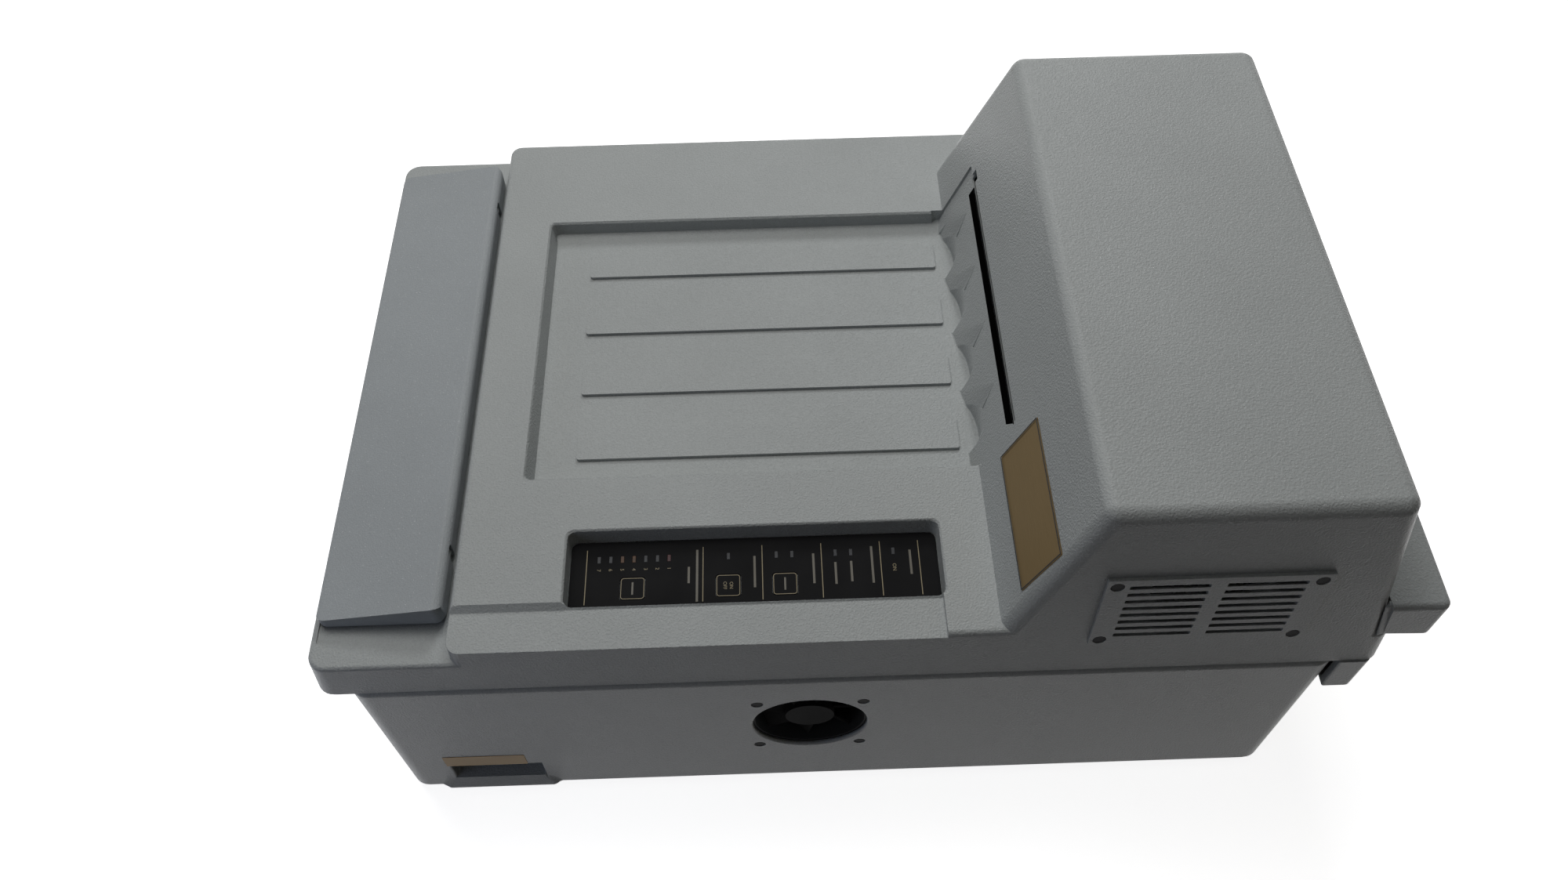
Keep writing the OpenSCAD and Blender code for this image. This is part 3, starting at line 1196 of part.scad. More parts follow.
base_tub();
rubber_feet();
service_duct();
mains_inlet();
tank_block();
developer_rack();
fixer_rack();
wash_rack();
dryer_frame();
shaft_bearings();
drive_motor();
fan_frame();
fan_screws();
power_supply();
power_board();
circulation_pumps();
replenish_pumps();
tank_heaters();
blower_housing();
air_plenum();
dryer_heater();
drain_spigots();
water_valve();
top_cover();
vent_grille();
grille_screws();
exhaust_duct();
nameplate();
control_panel();
led_lenses();
control_board();
feed_tray();
hinge_pins();
feed_lid();
key_program();
key_power();
key_run();
drive_shaft();
drive_worms();
feed_roller_lower();
feed_roller_upper();
developer_roller_lower();
developer_roller_upper();
developer_turn_roller();
developer_idler_gear();
fixer_roller_lower();
fixer_roller_upper();
fixer_turn_roller();
fixer_idler_gear();
wash_roller_lower();
wash_roller_upper();
wash_turn_roller();
wash_idler_gear();
dryer_roller_lower();
dryer_roller_upper();
dryer_drum();
exit_roller_lower();
exit_roller_upper();
fan_rotor();
blower_wheel();
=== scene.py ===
import json
import math

import bmesh
import bpy
from mathutils import Matrix, Vector

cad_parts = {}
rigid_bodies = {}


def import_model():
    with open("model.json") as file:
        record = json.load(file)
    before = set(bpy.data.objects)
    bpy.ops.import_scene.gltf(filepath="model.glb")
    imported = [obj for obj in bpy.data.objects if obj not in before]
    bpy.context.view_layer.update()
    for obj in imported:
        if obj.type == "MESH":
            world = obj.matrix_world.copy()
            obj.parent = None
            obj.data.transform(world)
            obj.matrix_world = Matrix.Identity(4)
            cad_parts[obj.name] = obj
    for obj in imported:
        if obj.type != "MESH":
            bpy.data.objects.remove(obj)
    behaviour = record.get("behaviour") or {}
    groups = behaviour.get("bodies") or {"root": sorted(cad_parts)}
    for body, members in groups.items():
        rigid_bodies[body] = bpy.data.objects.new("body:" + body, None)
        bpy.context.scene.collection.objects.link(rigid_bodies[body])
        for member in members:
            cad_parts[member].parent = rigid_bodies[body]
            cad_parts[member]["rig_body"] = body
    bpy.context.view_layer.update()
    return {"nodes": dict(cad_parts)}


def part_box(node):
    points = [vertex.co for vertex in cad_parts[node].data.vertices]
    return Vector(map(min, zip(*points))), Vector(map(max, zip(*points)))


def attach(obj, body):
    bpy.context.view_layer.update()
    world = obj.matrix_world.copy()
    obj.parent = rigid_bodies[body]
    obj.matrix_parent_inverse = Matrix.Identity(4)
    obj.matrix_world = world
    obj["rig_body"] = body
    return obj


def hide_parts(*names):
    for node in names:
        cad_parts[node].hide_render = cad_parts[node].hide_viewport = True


# Studio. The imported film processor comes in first, then a camera that looks down on it from
# above the near wall, as the photograph does, a pale floor, one broad lamp above, one behind
# whose mirror image lies on the far right of the deck, and a weak cool one at the near left.
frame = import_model()
nodes = frame["nodes"]
MM = 0.001


def colour(code):
    """The linear colour of an sRGB hex code"""
    parts = [int(code[i:i + 2], 16) / 255 for i in (1, 3, 5)]
    linear = [c / 12.92 if c <= 0.04045 else ((c + 0.055) / 1.055) ** 2.4 for c in parts]
    return (*linear, 1.0)


def add(tree, kind, settings=None, inputs=None):
    """A new node with its settings; each input takes a value, or an output to link it to"""
    new = tree.nodes.new(kind)
    for key, value in (settings or {}).items():
        setattr(new, key, value)
    for key, value in (inputs or {}).items():
        if isinstance(value, bpy.types.NodeSocket):
            tree.links.new(value, new.inputs[key])
        else:
            new.inputs[key].default_value = value
    return new


def start_material(name):
    """An empty material: its tree, its surface shader and the place of each point in metres"""
    material = bpy.data.materials.new(name)
    material.use_nodes = True
    tree = material.node_tree
    tree.nodes.clear()
    skin = add(tree, "ShaderNodeBsdfPrincipled")
    add(tree, "ShaderNodeOutputMaterial", inputs={"Surface": skin.outputs["BSDF"]})
    place = add(tree, "ShaderNodeTexCoord").outputs["Object"]
    return material, tree, skin, place


def keep_mesh(name, bm, material, body):
    """Turns a finished bmesh into a piece that rides on a body"""
    mesh = bpy.data.meshes.new(name)
    bm.to_mesh(mesh)
    bm.free()
    piece = bpy.data.objects.new(name, mesh)
    bpy.context.scene.collection.objects.link(piece)
    mesh.materials.append(material)
    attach(piece, body)
    return piece


azimuth, down, roll = math.radians(0.82), math.radians(55.31), math.radians(-1.148)
forward = Vector((math.sin(azimuth) * math.cos(down), math.cos(azimuth) * math.cos(down),
                  -math.sin(down)))
level = Vector((math.cos(azimuth), -math.sin(azimuth), 0))
upright = level.cross(forward)
camera_x = level * math.cos(roll) + upright * math.sin(roll)
camera_y = upright * math.cos(roll) - level * math.sin(roll)
camera_data = bpy.data.cameras.new("camera")
camera_data.sensor_width = 36
camera_data.sensor_fit = "HORIZONTAL"
camera_data.lens = 36 * 1582.65 / 2000
camera_data.clip_start = 0.01
camera = bpy.data.objects.new("camera", camera_data)
camera.matrix_world = (Matrix.Translation((-0.05486, -0.55665, 0.92411))
                       @ Matrix((camera_x, camera_y, -forward)).transposed().to_4x4())
bpy.context.scene.collection.objects.link(camera)
bpy.context.scene.camera = camera
bpy.context.scene.view_settings.view_transform = "Standard"


def lamp(name, size, place, target, power, tint):
    """A square soft lamp of that size that faces a target"""
    data = bpy.data.lights.new(name, "AREA")
    data.shape = "SQUARE"
    data.size = size
    data.energy = power
    data.color = colour(tint)[:3]
    thing = bpy.data.objects.new(name, data)
    direction = Vector(target) - Vector(place)
    thing.matrix_world = (Matrix.Translation(place)
                          @ direction.to_track_quat("-Z", "Y").to_matrix().to_4x4())
    thing.visible_camera = False
    bpy.context.scene.collection.objects.link(thing)


lamp("lamp_above", 1.0, (-0.45, 0.5, 1.9), (0.0, 0.0, 0.2), 15.5, "#fffefc")
lamp("lamp_behind", 0.5, (0.26, 1.52, 1.6), (0.05, 0.1, 0.2), 11, "#fdfeff")
lamp("lamp_window", 0.6, (-0.85, -0.62, 0.4), (-0.3, -0.1, 0.15), 0.72, "#d3dfff")

world = bpy.data.worlds.new("room")
bpy.context.scene.world = world
world.use_nodes = True
world.node_tree.nodes.clear()


def sees_white(tree):
    """1 for the rays that are shown the white background: camera, glossy and transmission"""
    ray = add(tree, "ShaderNodeLightPath")
    direct = add(tree, "ShaderNodeMath", {"operation": "MAXIMUM"},
                 {0: ray.outputs["Is Camera Ray"], 1: ray.outputs["Is Transmission Ray"]})
    either = add(tree, "ShaderNodeMath", {"operation": "MAXIMUM"},
                 {0: direct.outputs[0], 1: ray.outputs["Is Glossy Ray"]})
    return either.outputs[0]


room_light = add(world.node_tree, "ShaderNodeBackground",
                 inputs={"Color": colour("#cfc4b6"), "Strength": 0.06})
white_back = add(world.node_tree, "ShaderNodeBackground",
                 inputs={"Color": (1, 1, 1, 1), "Strength": 1.0})
room_mix = add(world.node_tree, "ShaderNodeMixShader",
               inputs={0: sees_white(world.node_tree), 1: room_light.outputs[0],
                       2: white_back.outputs[0]})
add(world.node_tree, "ShaderNodeOutputWorld", inputs={"Surface": room_mix.outputs[0]})

# The floor lights the object as a grey bench would, but is seen as white with a soft shadow
floor_material, tree, skin, place = start_material("pale_floor")
skin.inputs["Roughness"].default_value = 0.9
seen = sees_white(tree)
floor_tint = add(tree, "ShaderNodeMix", {"data_type": "RGBA"},
                 {0: seen, 6: colour("#2e2822"), 7: (1, 1, 1, 1)})
tree.links.new(floor_tint.outputs[2], skin.inputs["Base Color"])
floor_glow = add(tree, "ShaderNodeMath", {"operation": "MULTIPLY"}, {0: seen, 1: 0.86})
skin.inputs["Emission Color"].default_value = (1, 1, 1, 1)
tree.links.new(floor_glow.outputs[0], skin.inputs["Emission Strength"])
bm = bmesh.new()
bmesh.ops.create_grid(bm, x_segments=1, y_segments=1, size=6)
mesh = bpy.data.meshes.new("floor")
bm.to_mesh(mesh)
bm.free()
mesh.materials.append(floor_material)
floor = bpy.data.objects.new("floor", mesh)
bpy.context.scene.collection.objects.link(floor)


# Base tub. A thick moulded box with round corners, sprayed with a structured two-pack paint
# like the rest of the casing: pale grey, its skin raised in grains of about a millimetre that
# catch the lamp as small sparks, helped by pale flecks in the colour that are painted glints,
# and with painted shade in the valleys of the grains. Every edge of the moulding is soft.
def structured_paint(name, tint, grain, height, rough):
    """Sprayed structured paint: polyurethane over plastic, so IOR 1.5 and a satin gloss"""
    material, tree, skin, place = start_material(name)
    skin.inputs["IOR"].default_value = 1.5
    # Slow drift of the sprayed colour, over about 80 mm
    drift = add(tree, "ShaderNodeTexNoise", inputs={"Vector": place, "Scale": 12.0, "Detail": 3.0})
    shade = add(tree, "ShaderNodeMapRange", inputs={
        "Value": drift.outputs["Fac"], "From Min": 0.3, "From Max": 0.7,
        "To Min": 0.96, "To Max": 1.03})
    # The grains of the skin, their valleys a little darker as painted shade
    grains = add(tree, "ShaderNodeTexNoise",
                 inputs={"Vector": place, "Scale": 1 / (grain * MM), "Detail": 2.0})
    painted_valley_shade = add(tree, "ShaderNodeMapRange", inputs={
        "Value": grains.outputs["Fac"], "From Min": 0.35, "From Max": 0.65,
        "To Min": 0.95, "To Max": 1.04})
    light = add(tree, "ShaderNodeMath", {"operation": "MULTIPLY"},
                {0: shade.outputs[0], 1: painted_valley_shade.outputs[0]})
    tinted = add(tree, "ShaderNodeMix", {"data_type": "RGBA", "blend_type": "MULTIPLY"},
                 {0: 1.0, 6: colour(tint), 7: light.outputs[0]})
    # Smooth droplets that glint: in cells of 2.2 mm, two in five hold a drop of 0.9 mm. Each drop
    # is also lightened towards pale grey in the colour, which is a painted glint
    cells = add(tree, "ShaderNodeTexVoronoi", inputs={"Vector": place, "Scale": 1 / (2.2 * MM)})
    chosen = add(tree, "ShaderNodeMath", {"operation": "GREATER_THAN"},
                 {0: cells.outputs["Color"], 1: 0.58})
    dome = add(tree, "ShaderNodeMapRange", inputs={
        "Value": cells.outputs["Distance"], "From Min": 0.0, "From Max": 0.21,
        "To Min": 1.0, "To Max": 0.0})
    drops = add(tree, "ShaderNodeMath", {"operation": "MULTIPLY"},
                {0: dome.outputs[0], 1: chosen.outputs[0]})
    painted_glint = add(tree, "ShaderNodeMath", {"operation": "MULTIPLY"}, {0: drops.outputs[0], 1: 0.42})
    tint_with_painted_glint = add(tree, "ShaderNodeMix", {"data_type": "RGBA"},
                    {0: painted_glint.outputs[0], 6: tinted.outputs[2], 7: colour("#e4e8e8")})
    tree.links.new(tint_with_painted_glint.outputs[2], skin.inputs["Base Color"])
    gloss = add(tree, "ShaderNodeMapRange", inputs={
        "Value": drops.outputs[0], "To Min": rough, "To Max": 0.1})
    tree.links.new(gloss.outputs[0], skin.inputs["Roughness"])
    shine = add(tree, "ShaderNodeMapRange", inputs={
        "Value": drops.outputs[0], "To Min": 0.12, "To Max": 0.6})
    tree.links.new(shine.outputs[0], skin.inputs["Specular IOR Level"])
    relief = add(tree, "ShaderNodeMath", {"operation": "MULTIPLY_ADD"},
                 {0: drops.outputs[0], 1: 0.5, 2: grains.outputs["Fac"]})
    bump = add(tree, "ShaderNodeBump",
               inputs={"Height": relief.outputs[0], "Distance": height * MM, "Strength": 1.0})
    tree.links.new(bump.outputs[0], skin.inputs["Normal"])
    return material


def even_normals(bm, mesh, smooth=math.radians(38)):
    """Shades a softened moulding: flat walls stay flat, and the rounds blend into them"""
    size = {}
    for start in bm.faces:
        if start in size:
            continue
        # All the faces that lie in one plane count by the area of the whole wall
        wall, rim = {start}, [start]
        while rim:
            for edge in rim.pop().edges:
                if edge.is_manifold and edge.calc_face_angle(9) < math.radians(0.5):
                    new = [f for f in edge.link_faces if f not in wall]
                    wall.update(new)
                    rim.extend(new)
        area = sum(f.calc_area() for f in wall)
        size.update((f, area) for f in wall)
    normals = []
    for face in bm.faces:
        for corner in face.loops:
            near = [f for f in corner.vert.link_faces if f.normal.angle(face.normal, 9) < smooth]
            normals.append(sum((f.normal * size[f] for f in near), Vector()).normalized())
    mesh.shade_smooth()
    mesh.normals_split_custom_set(normals)


def crowded(edge, room):
    """True where a face beside the edge has another of its edges nearer than that room"""
    ends = [vert.co for vert in edge.verts]
    for face in edge.link_faces:
        for other in face.edges:
            if other is edge or set(other.verts) & set(edge.verts):
                continue
            start, finish = (vert.co for vert in other.verts)
            run = finish - start
            for point in (*ends, (ends[0] + ends[1]) / 2):
                along = max(0.0, min(1.0, (point - start).dot(run) / max(run.length_squared, 1e-12)))
                near = start + run * along
                if (near - point).length < room and abs(run.normalized().dot(
                        (ends[1] - ends[0]).normalized())) > 0.5:
                    return True
    return False


def soften(source, name, material, radius, least=30, segments=3):
    """A copy of a CAD node whose sharp edges are rounded to that radius in millimetres, or to two
    fifths of it where another edge is near"""
    bm = bmesh.new()
    bm.from_mesh(nodes[source].data)
    bmesh.ops.remove_doubles(bm, verts=bm.verts, dist=0.02 * MM)
    bmesh.ops.dissolve_limit(bm, angle_limit=math.radians(0.6), verts=bm.verts, edges=bm.edges,
                             use_dissolve_boundaries=False, delimit=set())
    sharp = [e for e in bm.edges
             if e.is_manifold and e.calc_face_angle(0) > math.radians(least)]
    free = [e for e in sharp if not crowded(e, 2.05 * radius * MM)]
    tight = [e for e in sharp if e not in set(free)]
    bmesh.ops.bevel(bm, geom=free, affect="EDGES", offset=radius * MM, offset_type="OFFSET",
                    segments=segments, profile=0.5, material=-1, clamp_overlap=False)
    tight = [e for e in tight if e.is_valid and not crowded(e, 0.85 * radius * MM)]
    bmesh.ops.bevel(bm, geom=tight, affect="EDGES", offset=0.4 * radius * MM,
                    offset_type="OFFSET", segments=2, profile=0.5, material=-1,
                    clamp_overlap=False)
    bm.normal_update()
    shaded = bm.copy()
    piece = keep_mesh(name, bm, material, nodes[source]["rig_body"])
    even_normals(shaded, piece.data)
    shaded.free()
    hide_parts(source)
    return piece


case_paint = structured_paint("structured_case_paint", "#a3a7a7", 1.3, 0.55, 0.3)
soften("base_tub", "tub_moulding", case_paint, 1.6)


# Rubber feet. Four turned feet of black nitrile rubber, pressed on under the tub; dull, with
# a faint bloom that makes them greyer than the plastic.
def moulded(name, tint, rough, grain, height, drift=0.06, edge_radius=0.5):
    """A moulded or cut polymer: IOR 1.5, a spark-eroded grain and a little drift in the colour"""
    material, tree, skin, place = start_material(name)
    skin.inputs["IOR"].default_value = 1.5
    clouds = add(tree, "ShaderNodeTexNoise", inputs={"Vector": place, "Scale": 30.0, "Detail": 4.0})
    shade = add(tree, "ShaderNodeMapRange", inputs={
        "Value": clouds.outputs["Fac"], "From Min": 0.3, "From Max": 0.7,
        "To Min": 1 - drift, "To Max": 1 + drift})
    tinted = add(tree, "ShaderNodeMix", {"data_type": "RGBA", "blend_type": "MULTIPLY"},
                 {0: 1.0, 6: colour(tint), 7: shade.outputs[0]})
    tree.links.new(tinted.outputs[2], skin.inputs["Base Color"])
    sheen = add(tree, "ShaderNodeMapRange", inputs={
        "Value": clouds.outputs["Fac"], "From Min": 0.3, "From Max": 0.7,
        "To Min": rough - 0.05, "To Max": rough + 0.05})
    tree.links.new(sheen.outputs[0], skin.inputs["Roughness"])
    grains = add(tree, "ShaderNodeTexNoise",
                 inputs={"Vector": place, "Scale": 1 / (grain * MM), "Detail": 1.0})
    edge = add(tree, "ShaderNodeBevel", {"samples": 4}, {"Radius": edge_radius * MM})
    bump = add(tree, "ShaderNodeBump", inputs={
        "Height": grains.outputs["Fac"], "Distance": height * MM, "Normal": edge.outputs[0]})
    tree.links.new(bump.outputs[0], skin.inputs["Normal"])
    return material


def dress(material, *names):
    """Gives a material to CAD nodes that keep their own mesh"""
    for name in names:
        for place_for in nodes[name].material_slots:
            place_for.material = material


dress(moulded("nitrile_rubber", "#2b2c2d", 0.75, 0.8, 0.05), "rubber_feet")


# Cooling fan. A square frame and a seven-blade rotor of glass-filled black polyester, screwed
# behind the near wall by four black oxide cap screws that sit in counterbores.
black_plastic = moulded("black_glass_filled_plastic", "#0d0e0f", 0.66, 0.7, 0.04)
black_plastic.node_tree.nodes["Principled BSDF"].inputs["Specular IOR Level"].default_value = 0.1
dress(black_plastic, "fan_frame")
dull_black = moulded("dull_black_rotor", "#070707", 0.75, 0.7, 0.04)
dull_black.node_tree.nodes["Principled BSDF"].inputs["Specular IOR Level"].default_value = 0.05
dress(dull_black, "fan_rotor")

black_screw, tree, skin, place = start_material("black_oxide_steel")
# Oxidised and oiled steel: black, with a dull sheen and fine turning marks
skin.inputs["Base Color"].default_value = colour("#080808")
skin.inputs["Specular IOR Level"].default_value = 0.06
skin.inputs["Roughness"].default_value = 0.6
marks = add(tree, "ShaderNodeTexNoise", inputs={"Vector": place, "Scale": 1800.0})
bump = add(tree, "ShaderNodeBump", inputs={"Height": marks.outputs["Fac"], "Distance": 0.02 * MM})
tree.links.new(bump.outputs[0], skin.inputs["Normal"])


def cross_heads(name, places, outward, width, body):
    """Domed screw heads with a cross recess, their flat backs at those points in millimetres"""
    head = bmesh.new()
    bmesh.ops.create_cone(head, cap_ends=True, segments=32, radius1=width / 2 * MM,
                          radius2=width / 2 * MM * 0.98, depth=0.7 * MM,
                          matrix=Matrix.Translation((0, 0, 0.35 * MM)))
    cap = max(head.faces, key=lambda f: f.calc_center_median().z)
    bmesh.ops.inset_region(head, faces=[cap], thickness=width * 0.14 * MM, depth=0.35 * MM)
    bmesh.ops.inset_region(head, faces=[cap], thickness=width * 0.13 * MM, depth=0.1 * MM)
    # The recess: its floor is sunk, and drawn in between the four wings
    bmesh.ops.translate(head, verts=list(cap.verts), vec=(0, 0, -0.75 * MM))
    for vert in cap.verts:
        turn = math.degrees(math.atan2(vert.co.y, vert.co.x)) % 90
        if 15 < turn < 75:
            vert.co.x *= 0.42
            vert.co.y *= 0.42
    turned = Vector((0, 0, 1)).rotation_difference(Vector(outward)).to_matrix().to_4x4()
    bmesh.ops.transform(head, matrix=turned, verts=head.verts)
    template = bpy.data.meshes.new("head")
    head.to_mesh(template)
    head.free()
    bm = bmesh.new()
    for spot in places:
        bm.from_mesh(template)
        bm.verts.ensure_lookup_table()
        bmesh.ops.translate(bm, vec=Vector(spot) * MM, verts=bm.verts[-len(template.vertices):])
    bpy.data.meshes.remove(template)
    bmesh.ops.recalc_face_normals(bm, faces=bm.faces)
    return keep_mesh(name, bm, black_screw, body)


NEAR_Y = -229
FAN_X, FAN_Z, FAN_PITCH = -36, 104, 71.5
fan_corners = [(FAN_X + sx * FAN_PITCH / 2, NEAR_Y + 1.8, FAN_Z + sz * FAN_PITCH / 2)
               for sx in (-1, 1) for sz in (-1, 1)]
cross_heads("fan_screw_heads", fan_corners, (0, -1, 0), 7.6, "base")
dress(black_screw, "fan_screws", "grille_screws")


# Mains inlet. A three-pin appliance inlet of black plastic in its pocket, with tinned brass
# pins; above the pocket is a bare amber plate of printed polyester.
dress(black_plastic, "mains_inlet")
tinned, tree, skin, place = start_material("tinned_brass")
skin.inputs["Base Color"].default_value = colour("#c9c5ba")
skin.inputs["Metallic"].default_value = 1.0
scuffs = add(tree, "ShaderNodeTexNoise", inputs={"Vector": place, "Scale": 900.0, "Detail": 3.0})
worn = add(tree, "ShaderNodeMapRange", inputs={
    "Value": scuffs.outputs["Fac"], "To Min": 0.2, "To Max": 0.42})
tree.links.new(worn.outputs[0], skin.inputs["Roughness"])
bm = bmesh.new()
inlet_low, inlet_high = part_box("mains_inlet")
pin_x = (inlet_low.x + inlet_high.x) / 2
pin_z = (inlet_low.z + inlet_high.z) / 2
for dx in (-7, 0, 7):
    pin = bmesh.ops.create_cube(bm, size=1)["verts"]
    bmesh.ops.scale(bm, vec=(2.3 * MM, 9.2 * MM, 4.3 * MM), verts=pin)
    bmesh.ops.translate(bm, vec=(pin_x + dx * MM, inlet_high.y - 6.0 * MM, pin_z), verts=pin)
bmesh.ops.bevel(bm, geom=list(bm.edges), affect="EDGES", offset=0.6 * MM, segments=2,
                profile=0.5, material=-1)
keep_mesh("inlet_pins", bm, tinned, "base")

amber, tree, skin, place = start_material("printed_amber_polyester")
# Glossy film over a solid print, its tone drifting a little at random
skin.inputs["Roughness"].default_value = 0.4
skin.inputs["Specular IOR Level"].default_value = 0.15
fade = add(tree, "ShaderNodeTexNoise", inputs={"Vector": place, "Scale": 60.0, "Detail": 4.0})
faded = add(tree, "ShaderNodeMix", {"data_type": "RGBA"},
            {0: fade.outputs["Fac"], 6: colour("#7d5c12"), 7: colour("#916c18")})
tree.links.new(faded.outputs[2], skin.inputs["Base Color"])


def plate(name, corners, thickness, radius, material, body):
    """A thin plate with round corners on four points that run anticlockwise seen from outside"""
    bm = bmesh.new()
    face = bm.faces.new([bm.verts.new(Vector(c) * MM) for c in corners])
    face.normal_update()
    outward = face.normal.copy()
    bmesh.ops.bevel(bm, geom=list(face.verts), affect="VERTICES", offset=radius * MM,
                    segments=5, profile=0.5, material=-1)
    grown = bmesh.ops.extrude_face_region(bm, geom=list(bm.faces))["geom"]
    top = [v for v in grown if isinstance(v, bmesh.types.BMVert)]
    bmesh.ops.translate(bm, vec=outward * thickness * MM, verts=top)
    bmesh.ops.recalc_face_normals(bm, faces=bm.faces)
    return keep_mesh(name, bm, material, body)


plate("blank_plate", [(-301, NEAR_Y + 0.02, 45.8), (-242, NEAR_Y + 0.02, 45.8),
                      (-242, NEAR_Y + 0.02, 63), (-301, NEAR_Y + 0.02, 63)],
      0.25, 0.8, amber, "base")


# Ducts and pipes of the tub. The cable duct is a painted moulding on the end wall; the three
# drain outlets are turned from natural nylon, and the water valve is a blue solenoid valve.
soften("service_duct", "service_duct_moulding", case_paint, 1.6)
natural_nylon = moulded("natural_nylon", "#d8d3c4", 0.45, 0.5, 0.015, 0.03)
dress(natural_nylon, "drain_spigots", "shaft_bearings")
dress(moulded("blue_nylon_valve", "#2c5b85", 0.4, 0.6, 0.02), "water_valve")


# Top cover. One thick moulding with the feed shelf, the deck with its two recesses and the
# dryer hump, in the same structured paint as the tub; every rim is rounded by the mould.
soften("top_cover", "cover_moulding", case_paint, 1.15)


# Film slot. A thin black strip is laid in the shallow inset of the film guide under the slot's
# lower lip as painted shade: it stands for the dark of the slot.
SLOPE_RUN = 0.379
DECK_Z, SLOPE_FOOT, INSET = 226, 82.5, 2
slot_shade_strip, tree, skin, place = start_material("painted_slot_shade_black")
skin.inputs["Roughness"].default_value = 1.0
skin.inputs["Specular IOR Level"].default_value = 0.0
strip_noise = add(tree, "ShaderNodeTexNoise", inputs={"Vector": place, "Scale": 2500.0})
strip_tone = add(tree, "ShaderNodeMix", {"data_type": "RGBA"},
           {0: strip_noise.outputs["Fac"], 6: colour("#020202"), 7: colour("#0b0b0b")})
tree.links.new(strip_tone.outputs[2], skin.inputs["Base Color"])
bump = add(tree, "ShaderNodeBump", inputs={"Height": strip_noise.outputs["Fac"], "Distance": 0.1 * MM})
tree.links.new(bump.outputs[0], skin.inputs["Normal"])
slot_shade_corners = [(SLOPE_FOOT + INSET + SLOPE_RUN * (z - DECK_Z), y, z)
                 for z, y in ((268, 121.5), (268, -96), (260, -96), (260, 121.5))]
plate("painted_slot_shade", slot_shade_corners, 0.4, 0.4, slot_shade_strip, "cover")


# Ventilation grille. A painted plate with two columns of louvres, held on the near wall of
# the hump by four black screws in counterbores.
soften("vent_grille", "grille_plate", case_paint, 0.35, least=40)
GRILLE_X0, GRILLE_Z0, GRILLE_W, GRILLE_H = 136.5, 213, 133.5, 71.5
LEAN = math.atan(0.083)
foot_y = NEAR_Y + 1.5 + 0.083 * (GRILLE_Z0 - 176)
HEAD_IN = 0.75
grille_corners = [(GRILLE_X0 + across,
                   foot_y + up * math.sin(LEAN) - HEAD_IN * math.cos(LEAN),
                   GRILLE_Z0 + up * math.cos(LEAN) + HEAD_IN * math.sin(LEAN))
                  for across in (6.5, GRILLE_W - 6.5) for up in (5, GRILLE_H - 7)]
cross_heads("grille_screw_heads", grille_corners, (0, -math.cos(LEAN), math.sin(LEAN)), 7.6,
            "cover")


# Exhaust duct. A painted moulding on the end wall of the hump that turns the dryer's damp
# air down past the end of the machine.
soften("exhaust_duct", "exhaust_moulding", case_paint, 1.6)


# Nameplate. A thin sheet of brushed, gold-anodised aluminium with a black printed border,
# stuck on the hump's slope; left bare, as are all lettered places on this part.
gold_sheet, tree, skin, place = start_material("brushed_gold_anodised_aluminium")
skin.inputs["Metallic"].default_value = 0.35
skin.inputs["Roughness"].default_value = 0.5
grain_way = add(tree, "ShaderNodeMapping", inputs={"Vector": place, "Scale": (1.0, 0.04, 1.0)})
brushed = add(tree, "ShaderNodeTexNoise",
              inputs={"Vector": grain_way.outputs[0], "Scale": 2200.0, "Detail": 2.0})
tone = add(tree, "ShaderNodeMix", {"data_type": "RGBA"},
           {0: brushed.outputs["Fac"], 6: colour("#75613e"), 7: colour("#846f4a")})
tree.links.new(tone.outputs[2], skin.inputs["Base Color"])
bump = add(tree, "ShaderNodeBump",
           inputs={"Height": brushed.outputs["Fac"], "Distance": 0.01 * MM})
tree.links.new(bump.outputs[0], skin.inputs["Normal"])

black_ink = moulded("black_screen_ink", "#121315", 0.5, 0.4, 0.01)
slope_unit = math.hypot(1, SLOPE_RUN)
PLATE_L, PLATE_H = 98, 47.5
plate_x = SLOPE_FOOT + SLOPE_RUN * 26.5
plate_low = Vector((plate_x, NEAR_Y + 20, DECK_Z + 26.5))
uphill = Vector((SLOPE_RUN, 0, 1)) / slope_unit
outward = Vector((-1, 0, SLOPE_RUN)) / slope_unit


def on_slope(across, up, out):
    """A point of the slope, from the plate's near lower corner, in millimetres"""
    return plate_low + Vector((0, across, 0)) + uphill * up + outward * out


sheet = plate("gold_plate", [on_slope(PLATE_L, 0, 0.02), on_slope(0, 0, 0.02),
                             on_slope(0, PLATE_H, 0.02), on_slope(PLATE_L, PLATE_H, 0.02)][::-1],
              0.8, 1.2, gold_sheet, "cover")
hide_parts("nameplate")
bm = bmesh.new()
ring = [bm.verts.new(on_slope(a, u, 0.9) * MM) for a, u in
        ((0.3, 0.3), (PLATE_L - 0.3, 0.3), (PLATE_L - 0.3, PLATE_H - 0.3), (0.3, PLATE_H - 0.3))]
face = bm.faces.new(ring)
face.normal_update()
if face.normal.dot(outward) < 0:
    face.normal_flip()
bmesh.ops.bevel(bm, geom=list(face.verts), affect="VERTICES", offset=1.0 * MM, segments=3,
                profile=0.5, material=-1)
bm.faces.ensure_lookup_table()
inner = bm.faces[0]
bmesh.ops.inset_region(bm, faces=[inner], thickness=0.9 * MM, use_boundary=True)
bmesh.ops.delete(bm, geom=[inner], context="FACES_ONLY")
bmesh.ops.solidify(bm, geom=list(bm.faces), thickness=-0.04 * MM)
bmesh.ops.recalc_face_normals(bm, faces=bm.faces)
keep_mesh("plate_border", bm, black_ink, "cover")


